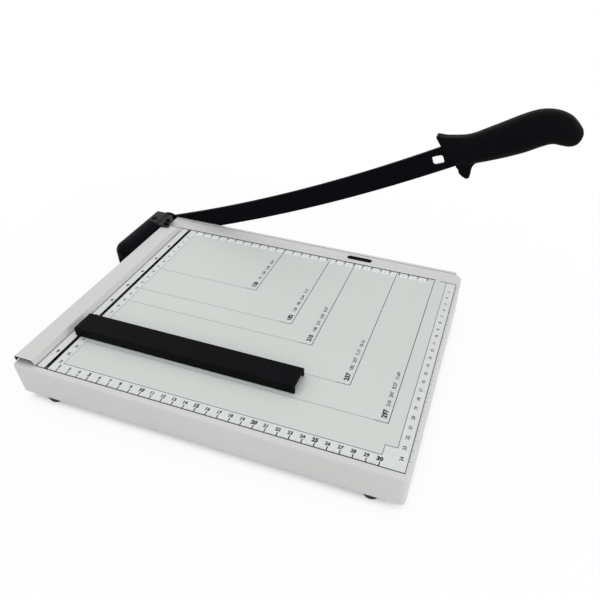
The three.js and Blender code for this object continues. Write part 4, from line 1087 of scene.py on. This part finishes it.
nuts = copies(hexagon(7, 3.2, 2.3), facing(OUT, [(-7.4, y, BLADE_SCREW_Z) for y in BLADE_SCREWS]), "zinc", 9)
piece("blade_hex_nuts", nuts, "base", "zinc", numbered("blade_nut", 4))
foot = [(4.05, 0), (6.6, 0), (6.9, 0.12), (7.03, 0.4), (8, 3.7), (8, 6.9), (7.7, 7.2), (2.05, 7.2)]
foot += [(2.05, 3.4), (4.05, 3.4)]
feet = copies(lathe(foot), facing(UP, [(x, y, 0) for x, y in FOOT_PLACES]), "rubber")
piece("rubber_feet", feet, "base", "rubber", numbered("foot", 4))
pin_head = TOP - SHEET - 0.3 - 1.4 - 0.5 - 0.3 - 1.6 - 0.3
pin_tip = TOP + 5.3 - pin_head
pin = [(0, -1.4), (1.9, -1.4), (2.4, -1.0), (2.4, 0), (1.1, 0), (1.1, TOP + 5.1 - pin_head), (1, pin_tip)]
pins = copies(lathe(pin + [(0, pin_tip)], 32), facing(UP, [(x, SLOT_Y, pin_head) for x in GUIDE_PINS]), "zinc")
piece("guide_rivets", pins, "guide", "zinc", numbered("guide_pin", 2))
for node in ("guide_leaf", "guide_plate"):
    piece("soft_" + node, softened(copy_of(node), 0.12, 2, 40), "guide", "zinc", [node])

# %% [markdown]
# ## Inside the pivot
# A long bolt holds the arm. It turns in two bronze bushes, and a spring on its far end draws the arm
# against the lower blade. Almost none of it shows, but the end of the bolt does. The spring is a circle
# swept along a spiral, so a short tree makes it.

# %% Turned pieces round the bolt
AT_PIVOT = Matrix.Translation((0, PIVOT[1], PIVOT[2]))
BOLT_FREE, HEX_WIDTH = 4.08, 13


def ring_along_x(outer, x0, x1, chamfer):
    length, inner = x1 - x0, BOLT_FREE
    profile = [(inner, 0), (outer - chamfer, 0), (outer, chamfer), (outer, length - chamfer)]
    ring = lathe(profile + [(outer - chamfer, length), (inner, length)], 64)
    ring.transform(Matrix.Translation((x0, 0, 0)) @ Z_TO_X)
    return smooth(ring)


for node, x0, x1 in (("bush_front", -14.3, -0.3), ("bush_rear", -49.9, -35.9)):
    bush = ring_along_x(7.7, x0, x1, 0.3)
    bush.transform(AT_PIVOT)
    piece("turned_" + node, bush, "base", "bronze", [node])
for node, outer, x0 in (("arm_washer", 8.0, 3.3), ("spring_washer", 7.4, -69.3)):
    piece("turned_" + node, ring_along_x(outer, x0, x0 + 1.5, 0.2), "arm", "zinc", [node])
head = hexagon(HEX_WIDTH, 5.3)
head.transform(Matrix.Translation((5.1, 0, 0)) @ Z_TO_X)
bolt = combined(head, [rod((-76.9, 0, 0), (6, 0, 0), 4.0, 64)], "UNION")
piece("hinge_bolt", smooth(bolt), "arm", "zinc", ["pivot_bolt"])
nut = hexagon(HEX_WIDTH, 7, BOLT_FREE)
nut.transform(Matrix.Translation((-76.6, 0, 0)) @ Z_TO_X)
piece("hinge_nut", smooth(nut), "arm", "zinc", ["lock_nut"])
cap = lathe([(0, 0), (7.2, 0), (7.7, 0.5), (7.7, 3), (0, 3)], 64)
cap.transform(Matrix.Translation((-89.6, PIVOT[1], PIVOT[2])) @ Z_TO_X)
piece("bore_cap", smooth(cap), "base", "black_plastic", ["bore_plug"])

# %% Tree: the spring
def make_spring_tree():
    sizes = {"Turns": 5.0, "Radius": 5.6, "Length": 15.2, "Wire": 0.9}
    tree, given = new_tree("coil_spring", [(label, "Float", size) for label, size in sizes.items()])
    radii = {"Start Radius": given["Radius"], "End Radius": given["Radius"]}
    path = {"Resolution": 40, "Rotations": given["Turns"], "Height": given["Length"], **radii}
    coil = add_node(tree, "GeometryNodeCurveSpiral", path)
    wire = add_node(tree, "GeometryNodeCurvePrimitiveCircle", {"Resolution": 14, "Radius": given["Wire"]})
    sweep = {"Curve": coil.outputs[0], "Profile Curve": wire.outputs[0], "Fill Caps": True}
    return end_tree(tree, given, add_node(tree, "GeometryNodeCurveToMesh", sweep))


spring = grown(make_spring_tree(), finish=ZINC)
spring = rebuilt(spring, Matrix.Translation((-66.3, PIVOT[1], PIVOT[2])) @ Z_TO_X)
piece("pivot_spring", smooth(spring, 40), "base", "zinc", ["pressure_spring"])

# %% [markdown]
# ## The printed measures
# The board carries a ruler along its near side, a second one along the far side, an inch scale beside the
# fence, and the outlines of common sheet sizes. They are silk-screened, so each is a very thin layer that
# stands a few hundredths of a millimetre proud. A print's place is given by two distances in millimetres:
# `u`, from the fence towards the person who cuts, and `v`, from the edge strip away from the blade. Only
# plain numbers in millimetres, centimetres and inches are printed.

# %% Inks and layers
EDGE_STRIP = 8.5
FILM, BOXES, LINES = 0.01, 0.04, 0.07


def ink(name, colour, rough=0.5):
    second = [min(c * 1.12 + 0.002, 0.85) for c in colour]
    return finish(name, colour, second, rough, 2600, bump=0.03, cloud=220.0, specular=0.25)


DARK_INK = ink("dark_ink", (0.010, 0.011, 0.012))
GREY_INK = ink("grey_ink", (0.10, 0.108, 0.104))
PALE_INK = ink("pale_ink", (0.28, 0.29, 0.28))
WHITE_INK = ink("white_ink", (0.79, 0.80, 0.785))
MARGIN = ink("margin", (0.635, 0.652, 0.628), 0.45)


def printed_place(u, v, turn, level):
    """A matrix that puts a print at u and v on the board. A turn of 0 reads from the side of the guide."""
    spin = Matrix.Rotation(math.radians(turn - 90), 4, "Z")
    return Matrix.Translation((-EDGE_STRIP - v, -u, TOP + level)) @ spin


def strip(u0, u1, v0, v1, level=LINES):
    """A printed rectangle between two distances from the fence and two from the edge strip."""
    return block(-EDGE_STRIP - v1, -EDGE_STRIP - v0, -u1, -u0, TOP + level, TOP + level + 0.02)


def across(v, u0, u1, width):
    return strip(u0, u1, v - width / 2, v + width / 2)


def upright(u, v0, v1, width):
    return strip(u - width / 2, u + width / 2, v0, v1)


def printed(name, meshes, colour):
    """One piece made of many prints in one ink."""
    bm = bmesh.new()
    for mesh in meshes:
        bm.from_mesh(mesh)
    mesh = bpy.data.meshes.new(name)
    bm.to_mesh(mesh)
    bm.free()
    set_down(name, mesh, "base", colour)


print("layers at", FILM, BOXES, LINES, "mm")

# %% [markdown]
# ## Tint, margin and boxes
# The middle of the board is tinted a little green, with fine squares of 2 and 10 mm that are only just
# there. They are a pattern, not geometry: a small group gives a mask of lines, from the distance to the
# nearest multiple of a step. Round the tint lies a paler margin, and small white boxes wait for numbers.

# %% Tint with its fine squares
def make_squares():
    inputs = [("Vector", "Vector", None), ("Step", "Float", 0.01), ("Width", "Float", 0.0002)]
    group, given = new_group("fine_squares", inputs, [("Mask", "Float")])
    parts = add_node(group, "ShaderNodeSeparateXYZ", {0: given["Vector"]}).outputs
    half_step = maths(group, "MULTIPLY", given["Step"], 0.5)
    near = [maths(group, "PINGPONG", parts[axis], half_step) for axis in "XY"]
    hits = [maths(group, "LESS_THAN", distance, given["Width"]) for distance in near]
    return end_group(group, {"Mask": maths(group, "MAXIMUM", *hits)})


SQUARES = make_squares()


def squared_tint():
    shades = (0.605, 0.638, 0.602), (0.640, 0.666, 0.636)
    material = finish("tint", *shades, 0.45, 1500, bump=0.03, cloud=9.0, specular=0.3)
    tree = material.node_tree
    shader = tree.nodes["Principled BSDF"]
    ground = shader.inputs["Base Color"].links[0].from_socket
    place = add_node(tree, "ShaderNodeTexCoord").outputs["Object"]
    corner = (-(CUT_X - EDGE_STRIP * MM), -FENCE_Y, 0)
    centred = add_node(tree, "ShaderNodeMapping", {"Vector": place, "Location": corner}).outputs["Vector"]
    for step, width, share in ((0.002, 0.00008, 0.06), (0.01, 0.00012, 0.05)):
        lines = {"Vector": centred, "Step": step, "Width": width}
        mask = add_node(tree, "ShaderNodeGroup", lines, node_tree=SQUARES).outputs["Mask"]
        shade = {"Factor": maths(tree, "MULTIPLY", mask, share), "A": ground, "B": (0.18, 0.24, 0.20, 1)}
        ground = add_node(tree, "ShaderNodeMix", shade, data_type="RGBA").outputs["Result"]
    feed(tree, shader, {"Base Color": ground})
    return material


# Edges of the printed field, as u and v. Its far corner steps in, as the grid does on the board.
FIELD_U, STEP_U, RIM_U, END_U = 20.5, 299.8, 309.5, 319.4
FIELD_V, STEP_V, RIM_V, END_V = 13.5, 230.8, 240, 250
tint = [strip(FIELD_U, RIM_U, FIELD_V, STEP_V, FILM), strip(FIELD_U, STEP_U, STEP_V, RIM_V, FILM)]
printed("print_tint", tint, squared_tint())
MARGIN_V = 13.4
margin = [strip(u0, u1, MARGIN_V, END_V, FILM) for u0, u1 in ((0.4, 8.2), (11.8, FIELD_U))]
margin += [strip(FIELD_U, STEP_U, RIM_V, END_V, FILM), strip(RIM_U, END_U, MARGIN_V, END_V, FILM)]
margin += [strip(STEP_U, RIM_U, STEP_V, END_V, FILM)]
printed("print_margin", margin, MARGIN)
printed("print_boxes", [strip(u + 1.8, u + 8.2, 15.4, 20.6, BOXES) for u in range(20, 290, 10)], WHITE_INK)

# %% [markdown]
# ## Marks and lines
# The ruler tree draws every row of marks. The near ruler is two rows, one of millimetres and one of bold
# centimetres. No mark is printed over the guide's slot. The dark lines beside the slot are its border, and
# each sheet's outline is one dark line, one pale line and a short grey end.

# %% Ruler marks
NEAR_V = 250.4
INCH = 25.4


def marks(u, v, turn, **sizes):
    mesh = grown(MARKS, finish=DARK_INK, **sizes)
    mesh.transform(printed_place(u, v, turn, LINES))
    return mesh


def even_marks(u, v, turn, count, length, width):
    return marks(u, v, turn, count=count, spacing=10.0, short=length, middle=length, long=length, width=width)


def clear_of_slot(mesh):
    """The marks without those that would lie over the guide's slot."""
    bm = bmesh.new()
    bm.from_mesh(mesh)
    over = [v for v in bm.verts if 8.4 < -v.co.y < 11.6]
    bmesh.ops.delete(bm, geom=over, context="VERTS")
    bm.to_mesh(mesh)
    bm.free()
    return mesh


millimetres = marks(0, NEAR_V, 0, count=301, spacing=1.0, short=0.9, middle=1.7, long=3.4, width=0.22)
centimetres = even_marks(0, NEAR_V, 0, 31, 4.0, 0.8)
inch_sizes = {"spacing": INCH / 8, "short": 1.4, "middle": 2.4, "long": 4.6, "middle_every": 2, "long_every": 4}
inches = marks(0.7, 1 + INCH * 9.5, 90, count=73, width=0.3, **inch_sizes)
side_marks = marks(319.5, 20, -90, count=221, spacing=1.0, short=0.8, middle=1.4, long=2.4, width=0.22)
dark = [clear_of_slot(millimetres), clear_of_slot(centimetres), even_marks(290, 13.6, 180, 28, 3.6, 0.95)]
grey, pale = [inches, side_marks], []
print("marks:", sum(len(m.polygons) for m in dark + grey) // 6)

# %% Lines and sheet outlines
# A sheet's length, its caption in millimetres and inches, and its printed corner as u and v.
SHEETS = [
    ("128", "91   128   3.58   5.04", 130, 92),
    ("182", "128   182   5.04   7.17", 183, 128),
    ("210", "148   210   5.83   8.27", 211, 148.5),
    ("257", "182   257   7.17   10.12", 257.6, 183),
    ("297", "210   297   8.27   11.69", 297.4, 211),
]
dark += [across(NEAR_V, 0.4, 319.8, 0.75), across(12.8, 0.4, 298, 1.3)]
dark += [strip(8.3, 8.58, 13.5, 250.2), strip(11.42, 11.7, 13.5, 250.2), strip(8.58, 11.42, 248.6, 250.2)]
grey += [strip(-13.5, 0.4, 12.4, 13.2)]
grey += [across(240.2, 20, 300, 0.5), upright(0.7, 13, NEAR_V, 0.6), upright(20.4, 22, 240, 0.3)]
grey += [upright(300, 230.8, 240.3, 0.5), across(230.8, 300, 309.8, 0.5), upright(309.7, 14, 231, 0.5)]
grey += [upright(319.6, 14, 250.5, 0.6), across(13.8, 303, 319.6, 0.9)]
dark += [upright(u, 14, v, 0.55) for length, caption, u, v in SHEETS]
pale += [across(v, 20.5, u + 0.2, 0.42) for length, caption, u, v in SHEETS]
grey += [across(v, u - 12, u + 0.2, 0.5) for length, caption, u, v in SHEETS]
print("outlines for sheets", [sheet[0] for sheet in SHEETS], "mm long")

# %% [markdown]
# ## Numbers
# The numbers are text objects that are turned into meshes before they get their place. Each fifth
# centimetre is bolder, which an offset of the outline gives. The first number would lie over the slot, so
# the near ruler starts at 2.

# %% Numbers
def number(text, u, v, size, turn=0, weight=0.0):
    """A printed number, centred on a place of the board. Its weight thickens the strokes."""
    curve = bpy.data.curves.new("number", "FONT")
    curve.body, curve.size, curve.offset, curve.extrude = str(text), size, weight, 0.01
    curve.align_x, curve.align_y = "CENTER", "CENTER"
    curve.resolution_u = 2
    mesh = evaluated_mesh(link(bpy.data.objects.new("number", curve)))
    mesh.transform(printed_place(u, v, turn, LINES + 0.01))
    return mesh


for k in range(2, 31):
    size, weight = (4.2, 0.19) if k % 5 else (4.9, 0.28)
    dark.append(number(k, 10 * k - 0.6, 244.2, size, 0, weight))
dark += [number(k, 5.4, 1 + INCH * k, 4.6, 0, 0.26) for k in range(2, 10)]
grey += [number(k, 16.6, 10 * k - 1, 3.6, 90, 0.14) for k in range(3, 25)]
dark += [number(k, 314.6, 10 * k - 1, 3.8, 90, 0.1) for k in range(3, 25)]
pale += [number(k, 10 * k + 5, 18, 2.9) for k in range(3, 29)]
for length, caption, u, v in SHEETS:
    dark += [number(length, u - 4.6, v - 8.5, 5.7, 90, 0.3), number(caption, u - 4.4, v - 36.5, 4.2, 90, 0.09)]
for name, meshes, colour in (("dark", dark, DARK_INK), ("grey", grey, GREY_INK), ("pale", pale, PALE_INK)):
    printed("print_" + name, meshes, colour)

# %% [markdown]
# ## Floor, backdrop and light
# The cutter is photographed on a plain white ground. The lamps only have to light the object, so the white
# comes from the world's colour and from the floor, not from more light. Three soft lamps of about the same
# weight stand above, near the camera and beside the user, so that the top and the walls are equally bright.

# %% World
FILL = 0.74
PLAIN_WHITE = {"Color": (1, 1, 1, 1), "Strength": 1.0}


def mixed_world():
    """Soft fill light, and plain white wherever the world itself is seen."""
    world = bpy.data.worlds.new("studio")
    scene.world = world
    world.use_nodes = True
    tree = world.node_tree
    tree.nodes.clear()
    ray = add_node(tree, "ShaderNodeLightPath").outputs
    seen = maths(tree, "MAXIMUM", ray["Is Camera Ray"], ray["Is Glossy Ray"])
    seen = maths(tree, "MAXIMUM", seen, ray["Is Transmission Ray"])
    fill = add_node(tree, "ShaderNodeBackground", {"Color": (0.97, 0.98, 1, 1), "Strength": FILL})
    white = add_node(tree, "ShaderNodeBackground", PLAIN_WHITE)
    mix = add_node(tree, "ShaderNodeMixShader", {"Fac": seen, 1: fill.outputs[0], 2: white.outputs[0]})
    add_node(tree, "ShaderNodeOutputWorld", {"Surface": mix.outputs[0]})


mixed_world()
print("fill light at", FILL)

# %% Floor
# How much of the shadow is lifted away beside the cutter, and how far inside its outline that starts.
LIFT, INSET = 0.9, 0.010
FLOOR_HALF = 30.0


def vector_maths(tree, operation, *values):
    inputs = dict(enumerate(values))
    return add_node(tree, "ShaderNodeVectorMath", inputs, operation=operation)


def make_floor():
    """A pale floor: real below the cutter, lifted towards white beside it, and plain white further out."""
    material = bpy.data.materials.new("floor")
    material.use_nodes = True
    tree = material.node_tree
    shader = tree.nodes["Principled BSDF"]
    feed(tree, shader, {"Base Color": (0.93, 0.93, 0.93, 1), "Roughness": 0.9, "Specular IOR Level": 0.0})
    low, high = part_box("base_shell")
    centre, half = (low + high) / 2, (high - low) / 2 - Vector((INSET, INSET, 0))
    place = add_node(tree, "ShaderNodeTexCoord").outputs["Object"]
    centred = vector_maths(tree, "SUBTRACT", place, (centre.x, centre.y, 0))
    mirrored = vector_maths(tree, "ABSOLUTE", centred.outputs[0])
    past = vector_maths(tree, "SUBTRACT", mirrored.outputs[0], (half.x, half.y, 0))
    outside = vector_maths(tree, "MAXIMUM", past.outputs[0])
    distance = vector_maths(tree, "LENGTH", outside.outputs[0]).outputs["Value"]
    amount = 0.0
    for near, far, most in ((0.0, 0.014, LIFT), (0.05, 0.4, 1.0)):
        ramp = {"Value": distance, 1: near, 2: far, 3: amount, 4: most}
        amount = add_node(tree, "ShaderNodeMapRange", ramp, interpolation_type="SMOOTHSTEP").outputs[0]
    seen = add_node(tree, "ShaderNodeLightPath").outputs["Is Camera Ray"]
    white = add_node(tree, "ShaderNodeEmission", PLAIN_WHITE)
    blend = {"Fac": maths(tree, "MULTIPLY", amount, seen), 1: shader.outputs[0], 2: white.outputs[0]}
    mix = add_node(tree, "ShaderNodeMixShader", blend)
    feed(tree, tree.nodes["Material Output"], {"Surface": mix.outputs[0]})
    mesh = bpy.data.meshes.new("floor")
    corners = rectangle(-FLOOR_HALF, FLOOR_HALF, -FLOOR_HALF, FLOOR_HALF)
    mesh.from_pydata([(x, y, 0) for x, y in corners], [], [(0, 1, 2, 3)])
    mesh.materials.append(material)
    link(bpy.data.objects.new("floor", mesh))


make_floor()
print("the floor reaches", FLOOR_HALF, "m each way")

# %% Lamps
def soft_lamp(name, place, target, size, watts):
    lamp = bpy.data.lights.new(name, "AREA")
    lamp.size, lamp.energy = size, watts
    obj = link(bpy.data.objects.new(name, lamp))
    obj.location = place
    obj.rotation_euler = (Vector(target) - Vector(place)).to_track_quat("-Z", "Y").to_euler()
    print(name, watts, "W")


soft_lamp("lamp_above", (0.3, 0.5, 1.7), (0, 0, 0), 2.0, 8)
soft_lamp("lamp_near_camera", (-1.6, -0.7, 0.9), (0, 0, 0.03), 1.2, 4)
soft_lamp("lamp_beside_user", (0.1, -1.8, 0.8), (0, 0, 0.03), 1.2, 7)
